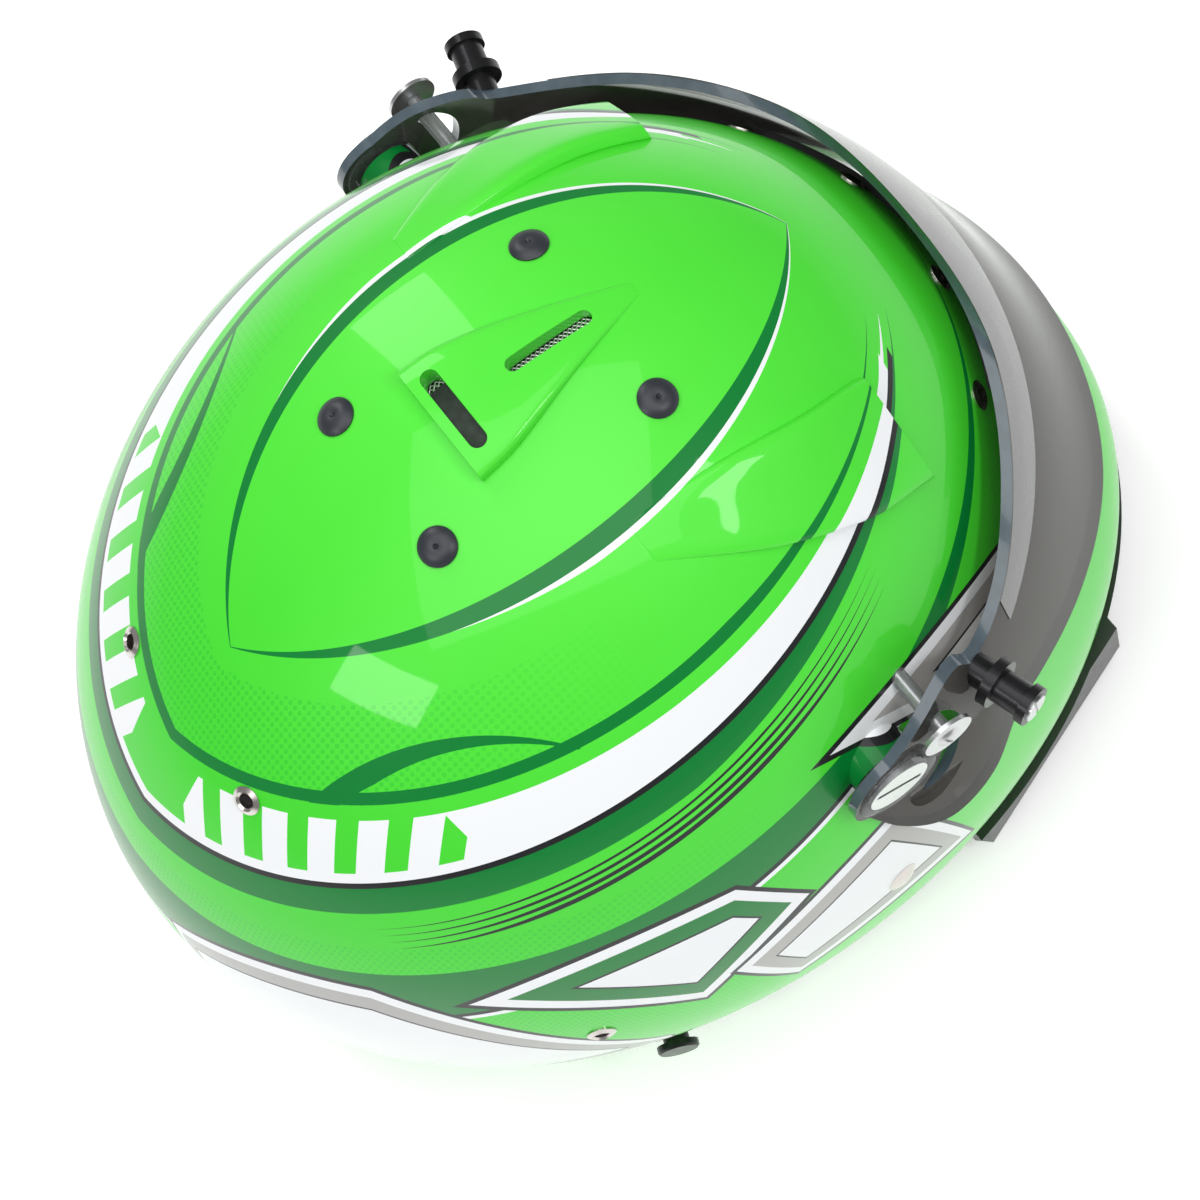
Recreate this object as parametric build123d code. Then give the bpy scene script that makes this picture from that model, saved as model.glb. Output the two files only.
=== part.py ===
from build123d import *
import os
from functools import lru_cache
from math import cos, exp, radians, sin, sqrt, tan

# Full-face racing helmet with a pivoting shield, in millimetres.
# It stands on its lower rim: +Z is up, -Y is the front and +X is the wearer's left.

# Outer form: level ellipses whose size follows the height above the rim
HALF_WIDTH = 125.5
REAR_REACH = 154.7
FRONT_REACH = 140.4
WIDEST_HEIGHT = 109.3
CROWN_RISE = 142.8
CROWN_LEAN = 7.7
FORM_SHIFT = 5.1
CHIN_BULGE = 25.8
CHIN_HEIGHT = 39.8
CHIN_SPREAD = 48.8
WIDTH_SHARES = (-0.058, 0.089, 0)
REAR_SHARES = (-0.05, 0.134, -0.082)
FRONT_SHARES = (-0.134, 0.191, -0.018)
FULL_START_SHARE = -0.3
FULLNESS_SHARE = 0.5
FORM_ANGLES = (-60, -46, -33, -20, -8, 4, 16, 28, 40, 52, 63, 73, 82, 87.5)

# Shell, its rim and the eyeport
SHELL_WALL = 3.0
RIM_HEIGHT = 1.6
TRIM_LIP = 1.6
TRIM_TOP = 9.0
PORT_HEIGHT = 135.0
PORT_HALF_WIDTH = 104.0
PORT_RISE = 25.0
PORT_DROP = 32.0
PORT_TOP_SHARES = ((0.97, 0.2), (0.865, 0.38), (0.75, 0.56), (0.577, 0.81), (0.29, 0.965), (0, 1))
PORT_BOTTOM_SHARES = ((0.97, 0.2), (0.885, 0.4), (0.72, 0.68), (0.577, 0.84), (0.29, 0.965), (0, 1))
GASKET_FLANGE = 5.0
GASKET_LIP = 2.0
GASKET_REACH = 1.8
CLEARANCE = 0.3
OVERRUN = 20.0
FRONT_DEPTH = 200.0

# Crown scoop, slots, mesh and plugs
SCOOP_STATIONS = ((-46.0, 5.0, 0.2), (-22.0, 20.0, 1.8), (0.0, 33.0, 3.6), (13.0, 36.0, 4.2))
SLOT_WIDTH = 4.2
LONG_SLOT_LENGTH = 25.0
LONG_SLOT_Y = -21.0
CROSS_SLOT_LENGTH = 25.5
CROSS_SLOT_WIDTH = 5.0
CROSS_SLOT_Y = 7.6
MESH_MARGIN = 4.0
MESH_THICKNESS = 0.8
PLUG_RADIUS = 5.2
PLUG_CROWN = 1.9
PLUG_STEM_RADIUS = 2.6
PLUG_DIMPLE = 0.8
PLUG_SPOTS = ((245.4, 44), (246.6, 141))

# Brow wings: raised blisters that fade rearwards, each with a slit in its front face
WING_STATIONS = ((-78.0, 57.0, 33.0, 4.2), (-58.0, 60.0, 32.0, 4.0), (-34.0, 58.0, 26.0, 2.2), (-8.0, 52.0, 12.0, 0.2))
POD_DEPTH = 2.4
POD_ROUND_SHARE = 0.4
WING_SLIT_DEPTH = 12.0
WING_SLIT_HEIGHT = 2.4
WING_SLIT_WALL = 1.2
WING_MESH_DEPTH = 3.0

# Eyelets: height over the rim and turn from the front, one table for each group
EYELET_RADIUS = 4.1
EYELET_BORE = 2.1
EYELET_CROWN = 1.1
EYELET_THROAT = 2.8
BROW_EYELETS = ((171.5, 9.8), (171.5, 27.7))
SIDE_EYELETS = ((120.3, 117.4),)
REAR_EYELETS = ((206.8, 162.6),)

# Shield, its arms and the strip along its upper edge
SHIELD_WALL = 3.0
SHIELD_GAP = 5.5
ARM_FACE = 115.4
ARM_TOE = 5.0
ARM_FLARE = 14.0
ARM_FLARE_DROP = 10.0
PIVOT_Y = -23.0
PIVOT_HEIGHT = 165.0
LOBE_RADIUS = 14.0
LOBE_TURN = 40.0
SHIELD_SPREAD = 6.5
SHIELD_SPREAD_RISE = 68.0
SHIELD_LEVELS = (84.0, 100.0, 118.0, 136.0, 154.0, 170.0, 186.0, 204.0)
SHIELD_TOP = ((-8.0, 17.0), (-15.0, 19.0), (-24.0, 19.5), (-30.0, 17.0), (-34.0, 11.0), (-41.0, 8.8), (-50.0, 8.6),
              (-58.0, 10.0), (-69.0, 13.0), (-84.0, 16.0), (-92.0, 18.5), (-95.3, 23.0), (-96.5, 28.0), (-98.0, 33.0))
SHIELD_LOW = ((5.0, -24.0), (-3.0, -36.0), (-12.0, -41.5), (-26.0, -41.0), (-40.0, -33.5), (-52.0, -38.5),
              (-76.0, -52.3), (-98.0, -63.6), (-112.0, -68.3), (-134.0, -71.0))
STRIP_THICKNESS = 0.3
STRIP_DROP = 34.0
STRIP_REAR = 50.0

# Pivot screw, in a boss of the shield, and the base that it turns in
PIVOT_SHAFT_RADIUS = 6.0
PIVOT_PLAY = 0.05
PIVOT_HEAD_RADIUS = 9.2
PIVOT_HEAD_THICKNESS = 2.2
BOSS_RADIUS = 12.4
BOSS_RISE = 1.6
COIN_SLOT_WIDTH = 1.6
COIN_SLOT_LENGTH = 15.0
COIN_SLOT_DEPTH = 1.2
BASE_RADIUS = 9.5
BASE_THREAD_RADIUS = 4.0
BASE_DEPTH = 10.0
BASE_SINK = 1.3

# Guide screw and the arc slot that it runs in
GUIDE_RADIUS = 21.0
GUIDE_ANGLE = 36.0
GUIDE_SLOT_END = -66.0
GUIDE_SLOT_WIDTH = 5.6
GUIDE_SLEEVE_RADIUS = 2.4
GUIDE_SHANK_RADIUS = 1.6
GUIDE_WASHER_RADIUS = 7.4
GUIDE_WASHER_THICKNESS = 1.2
GUIDE_STAND_OFF = 2.8
GUIDE_HEAD_RADIUS = 3.4
GUIDE_HEAD_RISE = 1.6
GUIDE_SLOT_CUT = 0.9
GUIDE_DEPTH = 18.0

# Tear-off posts on the shield
POST_Y = -57.0
POST_HEIGHT = 172.0
POST_TOE = 16.0
POST_REACH = 18.0
POST_FOOT_RADIUS = 4.4
POST_FOOT = 4.5
POST_FLANGE_RADIUS = 7.0
POST_FLANGE = 3.0
POST_NECK_RADIUS = 4.7
POST_LIP_RADIUS = 5.7
POST_LIP = 2.6
POST_CAP_RADIUS = 3.9
POST_CAP_THICKNESS = 1.4

# Chin spoiler
SPOILER_LOW = 10.0
SPOILER_HIGH = 30.0
SPOILER_WALL = 4.0
SPOILER_CORNER = (89.0, -113.0)
SPOILER_TAIL = (112.5, -44.0)
SPOILER_CHAMFER = 4.0
SPOILER_INNER_X = 60.0
SPOILER_SCREW_RADIUS = 3.0
SPOILER_SCREW_RISE = 1.2
SPOILER_SCREW_TURNS = (8, 24)

# Head-restraint posts
RESTRAINT_HEIGHT = 35.0
RESTRAINT_TURN = 118.5
RESTRAINT_FLANGE_RADIUS = 8.0
RESTRAINT_FLANGE = 1.6
RESTRAINT_NECK_RADIUS = 4.0
RESTRAINT_NECK = 4.2
RESTRAINT_HEAD_RADIUS = 6.4
RESTRAINT_HEAD = 2.4
RESTRAINT_SHANK_RADIUS = 3.0
RESTRAINT_NUT_RADIUS = 7.0
RESTRAINT_NUT = 4.0

# Liners and pads
LINER_WALL = 31.0
LINER_LOW = 76.0
FACE_CUT_Y = -45.0
FACE_CUT_RISE = 6.0
COMFORT_WALL = 7.0
PAD_LOW = 14.0
PAD_FRONT_Y = -72.0
PAD_REAR_Y = 52.0
PAD_ROUND = 12.0
HEAD_HALF_WIDTH = 74.0
HEAD_HALF_LENGTH = 100.0
HEAD_Y = 14.0
CHIN_FOAM_WALL = 16.0
CHIN_FOAM_LOW = 14.0
CHIN_FOAM_TOP = 88.0
ROLL_WIDTH = 22.0
ROLL_LOW = 11.0
ROLL_HIGH = 36.0

# Chin strap, its anchors and rings
RIVET_HEIGHT = 101.8
RIVET_TURN = 82.0
RIVET_RADIUS = 5.0
RIVET_RISE = 1.6
RIVET_SHANK_RADIUS = 2.4
ANCHOR_RADIUS = 8.0
ANCHOR_THICKNESS = 1.5
STRAP_WIDTH = 25.0
STRAP_THICKNESS = 1.6
STRAP_TAB = 12.0
STRAP_DROP_X = 56.0
STRAP_ENDS = {"left": 42.0, "right": 6.0}
RING_WIRE = 1.6
RING_PLAY = 0.05
RING_PITCH = 3.6
RING_WIDTH = 30.0
RING_DEPTH = 24.0
RING_TOP_ROUND = 2.6
RING_LOW_ROUND = 11.0


def side_sign(side):
    """+1 on the wearer's left, -1 on the right."""
    return {"left": 1, "right": -1}[side]


def swell(shares, level):
    """Share by which a reach differs from a plain ellipse at a level between -1 and 1."""
    return 1 + shares[0] * level + shares[1] * level ** 2 + shares[2] * level ** 3


def section(height, grow=0):
    """Half width, front y and rear y of the form at a height, grown outwards by grow."""
    level = (height - WIDEST_HEIGHT) / (CROWN_RISE + grow)
    if level < FULL_START_SHARE:
        level = level + FULLNESS_SHARE * (FULL_START_SHARE - level) ** 2
    reach = sqrt(max(0, 1 - level ** 2))
    half = (HALF_WIDTH + grow) * reach * swell(WIDTH_SHARES, level)
    front = (FRONT_REACH + grow) * reach * swell(FRONT_SHARES, level)
    front = front + CHIN_BULGE * exp(-((height - CHIN_HEIGHT) / CHIN_SPREAD) ** 2)
    rear = (REAR_REACH + grow) * reach * swell(REAR_SHARES, level)
    middle = FORM_SHIFT - CROWN_LEAN * level ** 2
    return half, middle - front, middle + rear


@lru_cache(maxsize=None)
def form(grow=0):
    """Solid of the outer form, grown outwards by grow, from below the rim to the crown."""
    rise = CROWN_RISE + grow
    rings = []
    for angle in FORM_ANGLES:
        height = WIDEST_HEIGHT + rise * sin(radians(angle))
        half, front, rear = section(height, grow)
        rings.append(Plane((0, (front + rear) / 2, height)) * Ellipse(half, (rear - front) / 2))
    top = WIDEST_HEIGHT + rise
    _, front, rear = section(top, grow)
    return loft(rings + [Vertex(0, (front + rear) / 2, top)])


@lru_cache(maxsize=None)
def bare_wall():
    """Shell wall before its scoop, wings and holes."""
    far = 2 * REAR_REACH
    wall = form() - form(-SHELL_WALL)
    wall = wall - block((-far, -far, -far), (far, far, RIM_HEIGHT))
    return wall - port_prism()


def block(low, high):
    """Box between two corners."""
    size = [b - a for a, b in zip(low, high)]
    middle = [(a + b) / 2 for a, b in zip(low, high)]
    return Pos(*middle) * Box(*size)


def band(low, high):
    """Wide level slab between two heights."""
    far = 2 * REAR_REACH
    return block((-far, -far, low), (far, far, high))


def spot(height, turn, side="left"):
    """Point of the form at a height, turned from the front towards a side."""
    half, front, rear = section(height)
    x = side_sign(side) * half * sin(radians(turn))
    y = (front + rear) / 2 - (rear - front) / 2 * cos(radians(turn))
    return Vector(x, y, height)


def seat(height, turn, side="left"):
    """Plane that lies on the form at a spot, with its normal outwards."""
    step = CROWN_RISE / 1000
    across = spot(height, turn + 0.1, side) - spot(height, turn - 0.1, side)
    upwards = spot(height + step, turn, side) - spot(height - step, turn, side)
    normal = across.cross(upwards) * side_sign(side)
    return Plane(spot(height, turn, side), x_dir=across, z_dir=normal)


def crown_height(x, y):
    """Height of the form over a point of the plan, found by halving."""
    low = WIDEST_HEIGHT
    high = WIDEST_HEIGHT + CROWN_RISE
    for _ in range(40):
        height = (low + high) / 2
        half, front, rear = section(height)
        reach = (rear - front) / 2
        inside = half * reach > 0 and (x / half) ** 2 + ((y - front - reach) / reach) ** 2 < 1
        low, high = (height, high) if inside else (low, height)
    return low


def port_edge(shares, height, grow):
    """Points of the eyeport's edge from its left corner to the middle, moved outwards by grow."""
    points = [Vector(PORT_HALF_WIDTH, 0)]
    points = points + [Vector(PORT_HALF_WIDTH * a, height * b) for a, b in shares]
    up = height / abs(height)
    moved = [points[0] + Vector(grow, 0)]
    for before, point, after in zip(points, points[1:], points[2:]):
        along = (after - before).normalized()
        moved.append(point + Vector(abs(along.Y), up * abs(along.X)) * grow)
    return moved + [points[-1] + Vector(0, up * grow)]


def port_outline(grow):
    """Face of the eyeport about its own centre, grown outwards by grow."""
    edges = []
    for shares, height in ((PORT_TOP_SHARES, PORT_RISE), (PORT_BOTTOM_SHARES, -PORT_DROP)):
        half = Spline(*port_edge(shares, height, grow), tangents=[(0, height / abs(height)), (-1, 0)])
        edges = edges + [half, mirror(half, Plane.YZ)]
    return make_face(edges)


@lru_cache(maxsize=None)
def port_prism(grow=0):
    """Eyeport outline carried forwards through the front of the shell."""
    plane = Plane((0, 0, PORT_HEIGHT), x_dir=(1, 0, 0), z_dir=(0, -1, 0))
    return extrude(plane * port_outline(grow), amount=FRONT_DEPTH)


def pod(stations, sign=1):
    """Raised blister: a loft of rounded bars that lie along the form at fore-and-aft stations."""
    faces = []
    for y, x, width, rise in stations:
        step = width / 10
        base = crown_height(x, y)
        slope = crown_height(x + step, y) - crown_height(x - step, y)
        along = Vector(sign * 2 * step, 0, slope)
        plane = Plane((sign * x, y, base), x_dir=along, z_dir=(0, -sign, 0))
        height = rise + POD_DEPTH
        bar = RectangleRounded(width, height, height * POD_ROUND_SHARE)
        faces.append(plane * Pos(0, (rise - POD_DEPTH) / 2) * bar)
    return loft(faces)


def scoop():
    """Wedge on the crown that widens and rises towards its rear end."""
    return pod([(y, 0, width, rise) for y, width, rise in SCOOP_STATIONS])


def wing_front(side):
    """Plane on a wing's front face, with X along the wing, Y up from the shell and Z forwards."""
    y, x, width, _ = WING_STATIONS[0]
    step = width / 10
    slope = crown_height(x + step, y) - crown_height(x - step, y)
    sign = side_sign(side)
    return Plane((sign * x, y, crown_height(x, y)), x_dir=(2 * step, 0, sign * slope), z_dir=(0, -1, 0))


def wing_slit(side, low, high):
    """Bar inside a wing's slit, between two depths behind its front face."""
    _, _, width, rise = WING_STATIONS[0]
    lift = rise - WING_SLIT_WALL - WING_SLIT_HEIGHT / 2
    bar = Rectangle(width - 4 * WING_SLIT_WALL, WING_SLIT_HEIGHT)
    return extrude(wing_front(side) * Pos(0, lift, -high) * bar, amount=high - low)


def crown_slots(low, high, margin):
    """Upright bars in the two vent slots of the crown, between two depths below the form."""
    top = crown_height(0, LONG_SLOT_Y)
    long_slot = SlotOverall(LONG_SLOT_LENGTH + 2 * margin, SLOT_WIDTH + 2 * margin)
    cross_slot = SlotOverall(CROSS_SLOT_LENGTH + 2 * margin, CROSS_SLOT_WIDTH + 2 * margin)
    faces = [Pos(0, LONG_SLOT_Y, top - low) * Rot(0, 0, 90) * long_slot, Pos(0, CROSS_SLOT_Y, top - low) * cross_slot]
    return [extrude(face, amount=low - high) for face in faces]


def seats(table):
    """Both sides' planes of one table of heights and turns."""
    return [seat(height, turn, side) for height, turn in table for side in ("left", "right")]


def disc(plane, radius, low, high):
    """Round rod between two heights over a plane."""
    return extrude(plane * Pos(0, 0, low) * Circle(radius), amount=high - low)


def dome(radius, low, rise):
    """Arc from a rim to the top of a dome over it, square to the axis at the top."""
    sphere = (radius ** 2 + rise ** 2) / (2 * rise)
    middle = low + rise - sphere + sqrt(sphere ** 2 - radius ** 2 / 4)
    return ThreePointArc((radius, low), (radius / 2, middle), (0, low + rise))


def ring(plane, radius, bore, low, high):
    """Round plate with a hole, between two heights over a plane."""
    return extrude(plane * Pos(0, 0, low) * (Circle(radius) - Circle(bore)), amount=high - low)


def side_plane(side, y, height, out=0):
    """Plane square to X, out from the arm's inner face at a place, with Z outwards."""
    x = ARM_FACE + (y - PIVOT_Y) * tan(radians(ARM_TOE)) + out
    return Plane((side_sign(side) * x, y, height), x_dir=(0, 1, 0), z_dir=(side_sign(side), 0, 0))


def pivot_plane(side):
    """Plane across the pivot at the arm's inner face."""
    return side_plane(side, PIVOT_Y, PIVOT_HEIGHT)


def guide_plane(side):
    """Plane across the guide screw at the arm's inner face."""
    y = PIVOT_Y - GUIDE_RADIUS * cos(radians(GUIDE_ANGLE))
    return side_plane(side, y, PIVOT_HEIGHT + GUIDE_RADIUS * sin(radians(GUIDE_ANGLE)))


def restraint_plane(side):
    """Seat of a head-restraint post, level and square to the shell in plan."""
    plane = seat(RESTRAINT_HEIGHT, RESTRAINT_TURN, side)
    return Plane(plane.origin, x_dir=(0, 0, 1), z_dir=(plane.z_dir.X, plane.z_dir.Y, 0))


def side_bores(side):
    """Holes in one side of the shell for pivot base, guide sleeve, strap rivet and restraint post."""
    rivet = seat(RIVET_HEIGHT, RIVET_TURN, side)
    return [
        disc(pivot_plane(side), BASE_RADIUS, -OVERRUN, OVERRUN),
        disc(guide_plane(side), GUIDE_SLEEVE_RADIUS, -OVERRUN, OVERRUN),
        disc(rivet, RIVET_SHANK_RADIUS, -OVERRUN, OVERRUN),
        disc(restraint_plane(side), RESTRAINT_SHANK_RADIUS, -OVERRUN, OVERRUN),
    ]


def shell():
    """Composite shell with chin bar, eyeport, wings, scoop and every hole."""
    wings = [pod(WING_STATIONS, side_sign(side)) for side in ("left", "right")]
    body = bare_wall() + scoop() + wings
    cuts = crown_slots(OVERRUN, -OVERRUN, 0)
    for table in (BROW_EYELETS, SIDE_EYELETS, REAR_EYELETS):
        cuts = cuts + [disc(plane, EYELET_THROAT, -OVERRUN / 2, OVERRUN / 2) for plane in seats(table)]
    cuts = cuts + [disc(plane, PLUG_STEM_RADIUS, -OVERRUN / 2, OVERRUN / 2) for plane in seats(PLUG_SPOTS)]
    for side in ("left", "right"):
        cuts = cuts + side_bores(side) + [wing_slit(side, -OVERRUN / 2, WING_SLIT_DEPTH)]
    return body - cuts


def gasket():
    """Rubber edging of the eyeport: a flange on the shell's face and a lip through the wall."""
    flange = (port_prism(GASKET_FLANGE) & form(GASKET_LIP)) - form() - port_prism()
    lip = (port_prism() & form(GASKET_LIP)) - form(-SHELL_WALL) - port_prism(-GASKET_REACH)
    return flange + lip


def edge_trim():
    """Rubber channel that grips the lower rim and that the helmet stands on."""
    channel = (form(TRIM_LIP) & band(0, TRIM_TOP)) - form(-SHELL_WALL - TRIM_LIP)
    return channel - bare_wall()


def eyelet_group(table):
    """Rolled grommets of one table, each with its throat through the shell."""
    profile = make_face(Polyline(
        (EYELET_BORE, -SHELL_WALL), (EYELET_THROAT, -SHELL_WALL), (EYELET_THROAT, 0), (EYELET_RADIUS, 0),
        (EYELET_RADIUS, EYELET_CROWN / 3), (EYELET_THROAT, EYELET_CROWN), (EYELET_BORE, EYELET_CROWN / 2), close=True))
    grommet = revolve(Plane.XZ * profile, Axis.Z)
    return Compound(children=[plane * grommet for plane in seats(table)])


def crown_plugs():
    """Domed rubber plugs with a dimple, their stems in the shell's holes."""
    edge = PLUG_CROWN / 4
    profile = make_face([
        Polyline((PLUG_DIMPLE, PLUG_CROWN), (0, PLUG_CROWN - PLUG_DIMPLE), (0, -SHELL_WALL),
                 (PLUG_STEM_RADIUS, -SHELL_WALL), (PLUG_STEM_RADIUS, 0), (PLUG_RADIUS, 0), (PLUG_RADIUS, edge)),
        ThreePointArc((PLUG_RADIUS, edge), (PLUG_RADIUS * 3 / 4, PLUG_CROWN * 3 / 4), (PLUG_DIMPLE, PLUG_CROWN)),
    ])
    plug = revolve(Plane.XZ * profile, Axis.Z)
    return Compound(children=[plane * plug for plane in seats(PLUG_SPOTS)])


def crown_plate(y, size, grow):
    """Flat plate under the crown at a place, its upper corners just inside the shell, grown by grow."""
    length, width = size
    slope = (crown_height(0, y + 1) - crown_height(0, y - 1)) / 2
    sag = (length ** 2 + width ** 2) / (8 * HALF_WIDTH) + CLEARANCE / 3
    plane = Plane((0, y, crown_height(0, y)), x_dir=(1, 0, 0), z_dir=(0, -slope, 1))
    box = Box(width + 2 * grow, length + 2 * grow, MESH_THICKNESS + 2 * grow)
    return plane * Pos(0, 0, -SHELL_WALL - sag - MESH_THICKNESS / 2) * box


def crown_mesh(grow=0):
    """Plates of wire mesh under both crown slots, against the shell's inside."""
    margin = 2 * MESH_MARGIN
    long_plate = crown_plate(LONG_SLOT_Y, (LONG_SLOT_LENGTH, SLOT_WIDTH + margin), grow)
    cross_plate = crown_plate(CROSS_SLOT_Y, (CROSS_SLOT_WIDTH + margin, CROSS_SLOT_LENGTH + margin), grow)
    return Compound(children=[long_plate, cross_plate])


def wing_mesh():
    """Strip of mesh across each wing's slit, behind its front face."""
    high = WING_MESH_DEPTH + MESH_THICKNESS
    return Compound(children=[wing_slit(side, WING_MESH_DEPTH, high) for side in ("left", "right")])


def arm_slab(out):
    """Space between the arms' faces: toed in to the front, and flared outwards below the pivot."""
    far = 2 * REAR_REACH
    cube = Box(2 * far, 2 * far, 2 * far)
    spaces = []
    for flare, drop in ((0, 0), (ARM_FLARE, ARM_FLARE_DROP)):
        space = cube
        for sign in (-1, 1):
            foot = Pos(sign * (ARM_FACE + out), PIVOT_Y, PIVOT_HEIGHT - drop)
            space = space - foot * Rot(0, -sign * flare, -sign * ARM_TOE) * Pos(sign * far, 0, 0) * cube
        spaces.append(space)
    return spaces[0] + spaces[1]


def shield_profile():
    """Side view of the shield as a face: lobe round the pivot, upper edge, front and lower edge."""
    top = [(PIVOT_Y + y, PIVOT_HEIGHT + z) for y, z in SHIELD_TOP]
    low = [(PIVOT_Y + y, PIVOT_HEIGHT + z) for y, z in SHIELD_LOW]
    front = PIVOT_Y - FRONT_DEPTH
    turn = radians(LOBE_TURN)
    lobe_top = (PIVOT_Y, PIVOT_HEIGHT + LOBE_RADIUS)
    lobe_rear = (PIVOT_Y + LOBE_RADIUS, PIVOT_HEIGHT)
    lobe_low = (PIVOT_Y + LOBE_RADIUS * cos(turn), PIVOT_HEIGHT - LOBE_RADIUS * sin(turn))
    edges = [
        Spline(lobe_top, *top, tangents=[(-1, 0), (-1, 3)]),
        Polyline(top[-1], (front, top[-1][1]), (front, low[-1][1]), low[-1]),
        Spline(lobe_low, *low, tangents=[(-sin(turn), -cos(turn)), (-1, 0)]),
        ThreePointArc(lobe_low, lobe_rear, lobe_top),
    ]
    return make_face(edges)


def shield_section(height, grow):
    """The form's section with the sides spread above the widest level, so that the arms stand upright."""
    half, front, rear = section(height, grow)
    rise = max(0, height - WIDEST_HEIGHT) / SHIELD_SPREAD_RISE
    return half + SHIELD_SPREAD * rise ** 2, front, rear


@lru_cache(maxsize=None)
def shield_space(grow, out):
    """Space inside one face of the shield: grown form with spread sides, cut by the arms' planes."""
    rings = []
    for height in SHIELD_LEVELS:
        half, front, rear = shield_section(height, grow)
        rings.append(Plane((0, (front + rear) / 2, height)) * Ellipse(half, (rear - front) / 2))
    return loft(rings) & arm_slab(out)


@lru_cache(maxsize=None)
def shield_prism():
    """Side view of the shield carried across the whole width."""
    half = HALF_WIDTH + OVERRUN
    plane = Plane((-half, 0, 0), x_dir=(0, 1, 0), z_dir=(1, 0, 0))
    return extrude(plane * shield_profile(), amount=2 * half)


def arc_bar(side, width, low, high):
    """Arc bar about the pivot, from the guide screw downwards, between two heights over the arm's inner face."""
    path = CenterArc((0, 0), GUIDE_RADIUS, 180 - GUIDE_ANGLE, GUIDE_ANGLE - GUIDE_SLOT_END)
    bar = extrude(side_plane("left", PIVOT_Y, PIVOT_HEIGHT, low) * SlotArc(path, width), amount=high - low)
    return bar if side == "left" else mirror(bar, Plane.YZ)


def washer_track(side):
    """Room over the arc slot that the guide washer sweeps as the shield opens."""
    toe = GUIDE_RADIUS * cos(radians(GUIDE_ANGLE)) * tan(radians(ARM_TOE))
    low = SHIELD_WALL + GUIDE_STAND_OFF - toe - CLEARANCE / 2
    return arc_bar(side, 2 * (GUIDE_WASHER_RADIUS + CLEARANCE), low, OVERRUN)


def shield():
    """Curved window with flat arms, pivot bosses, arc slots and the washers' tracks."""
    outer = shield_space(SHIELD_GAP + SHIELD_WALL, SHIELD_WALL) & shield_prism()
    body = outer - shield_space(SHIELD_GAP, 0)
    for side in ("left", "right"):
        plane = pivot_plane(side)
        top = SHIELD_WALL + BOSS_RISE
        body = body + disc(plane, BOSS_RADIUS, 0, top)
        floor = top - PIVOT_HEAD_THICKNESS - PIVOT_PLAY
        body = body - disc(plane, PIVOT_HEAD_RADIUS + PIVOT_PLAY, floor, OVERRUN)
        body = body - disc(plane, PIVOT_SHAFT_RADIUS + PIVOT_PLAY, -OVERRUN / 2, OVERRUN)
        body = body - arc_bar(side, GUIDE_SLOT_WIDTH, -OVERRUN / 2, OVERRUN / 2) - washer_track(side)
    return body


def sun_strip():
    """Film on the outside of the shield along its upper edge."""
    rear = PIVOT_Y - STRIP_REAR
    low = PIVOT_HEIGHT + SHIELD_TOP[-1][1] - STRIP_DROP
    face = SHIELD_GAP + SHIELD_WALL
    front = block((-FRONT_DEPTH, -FRONT_DEPTH, low), (FRONT_DEPTH, rear, FRONT_DEPTH))
    film = shield_space(face + STRIP_THICKNESS, SHIELD_WALL + STRIP_THICKNESS) & shield_prism() & front
    return film - shield_space(face, SHIELD_WALL)


def pivot_base(side):
    """Threaded insert in the shell that carries the pivot screw."""
    plane = pivot_plane(side)
    return ring(plane, BASE_RADIUS, BASE_THREAD_RADIUS, -BASE_DEPTH, -BASE_SINK)


def pivot_screw(side):
    """Shoulder screw with a wide flat head and a coin slot."""
    plane = pivot_plane(side)
    top = SHIELD_WALL + BOSS_RISE
    under = top - PIVOT_HEAD_THICKNESS
    body = disc(plane, PIVOT_HEAD_RADIUS, under, top)
    body = body + disc(plane, PIVOT_SHAFT_RADIUS, -BASE_SINK, under)
    body = body + disc(plane, BASE_THREAD_RADIUS, -BASE_DEPTH, -BASE_SINK)
    slot = plane * Pos(0, 0, top) * Rot(0, 0, 30) * Box(COIN_SLOT_LENGTH, COIN_SLOT_WIDTH, 2 * COIN_SLOT_DEPTH)
    return body - slot


def guide_sleeve(side):
    """Clear spacer round the guide screw, from the shell to the washer."""
    top = SHIELD_WALL + GUIDE_STAND_OFF
    return ring(guide_plane(side), GUIDE_SLEEVE_RADIUS, GUIDE_SHANK_RADIUS, -GUIDE_DEPTH, top)


def guide_washer(side):
    """Plain washer over the arc slot."""
    low = SHIELD_WALL + GUIDE_STAND_OFF
    return ring(guide_plane(side), GUIDE_WASHER_RADIUS, GUIDE_SHANK_RADIUS, low, low + GUIDE_WASHER_THICKNESS)


def guide_screw(side):
    """Dome-head screw that holds the washer."""
    plane = guide_plane(side)
    base = SHIELD_WALL + GUIDE_STAND_OFF + GUIDE_WASHER_THICKNESS
    top = base + GUIDE_HEAD_RISE
    profile = make_face([
        Polyline((0, top), (0, -GUIDE_DEPTH), (GUIDE_SHANK_RADIUS, -GUIDE_DEPTH), (GUIDE_SHANK_RADIUS, base),
                 (GUIDE_HEAD_RADIUS, base)),
        dome(GUIDE_HEAD_RADIUS, base, GUIDE_HEAD_RISE),
    ])
    body = plane * revolve(Plane.XZ * profile, Axis.Z)
    slot = plane * Pos(0, 0, top) * Rot(0, 0, 60) * Box(3 * GUIDE_HEAD_RADIUS, GUIDE_SLOT_CUT, 2 * GUIDE_SLOT_CUT)
    return body - slot


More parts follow.
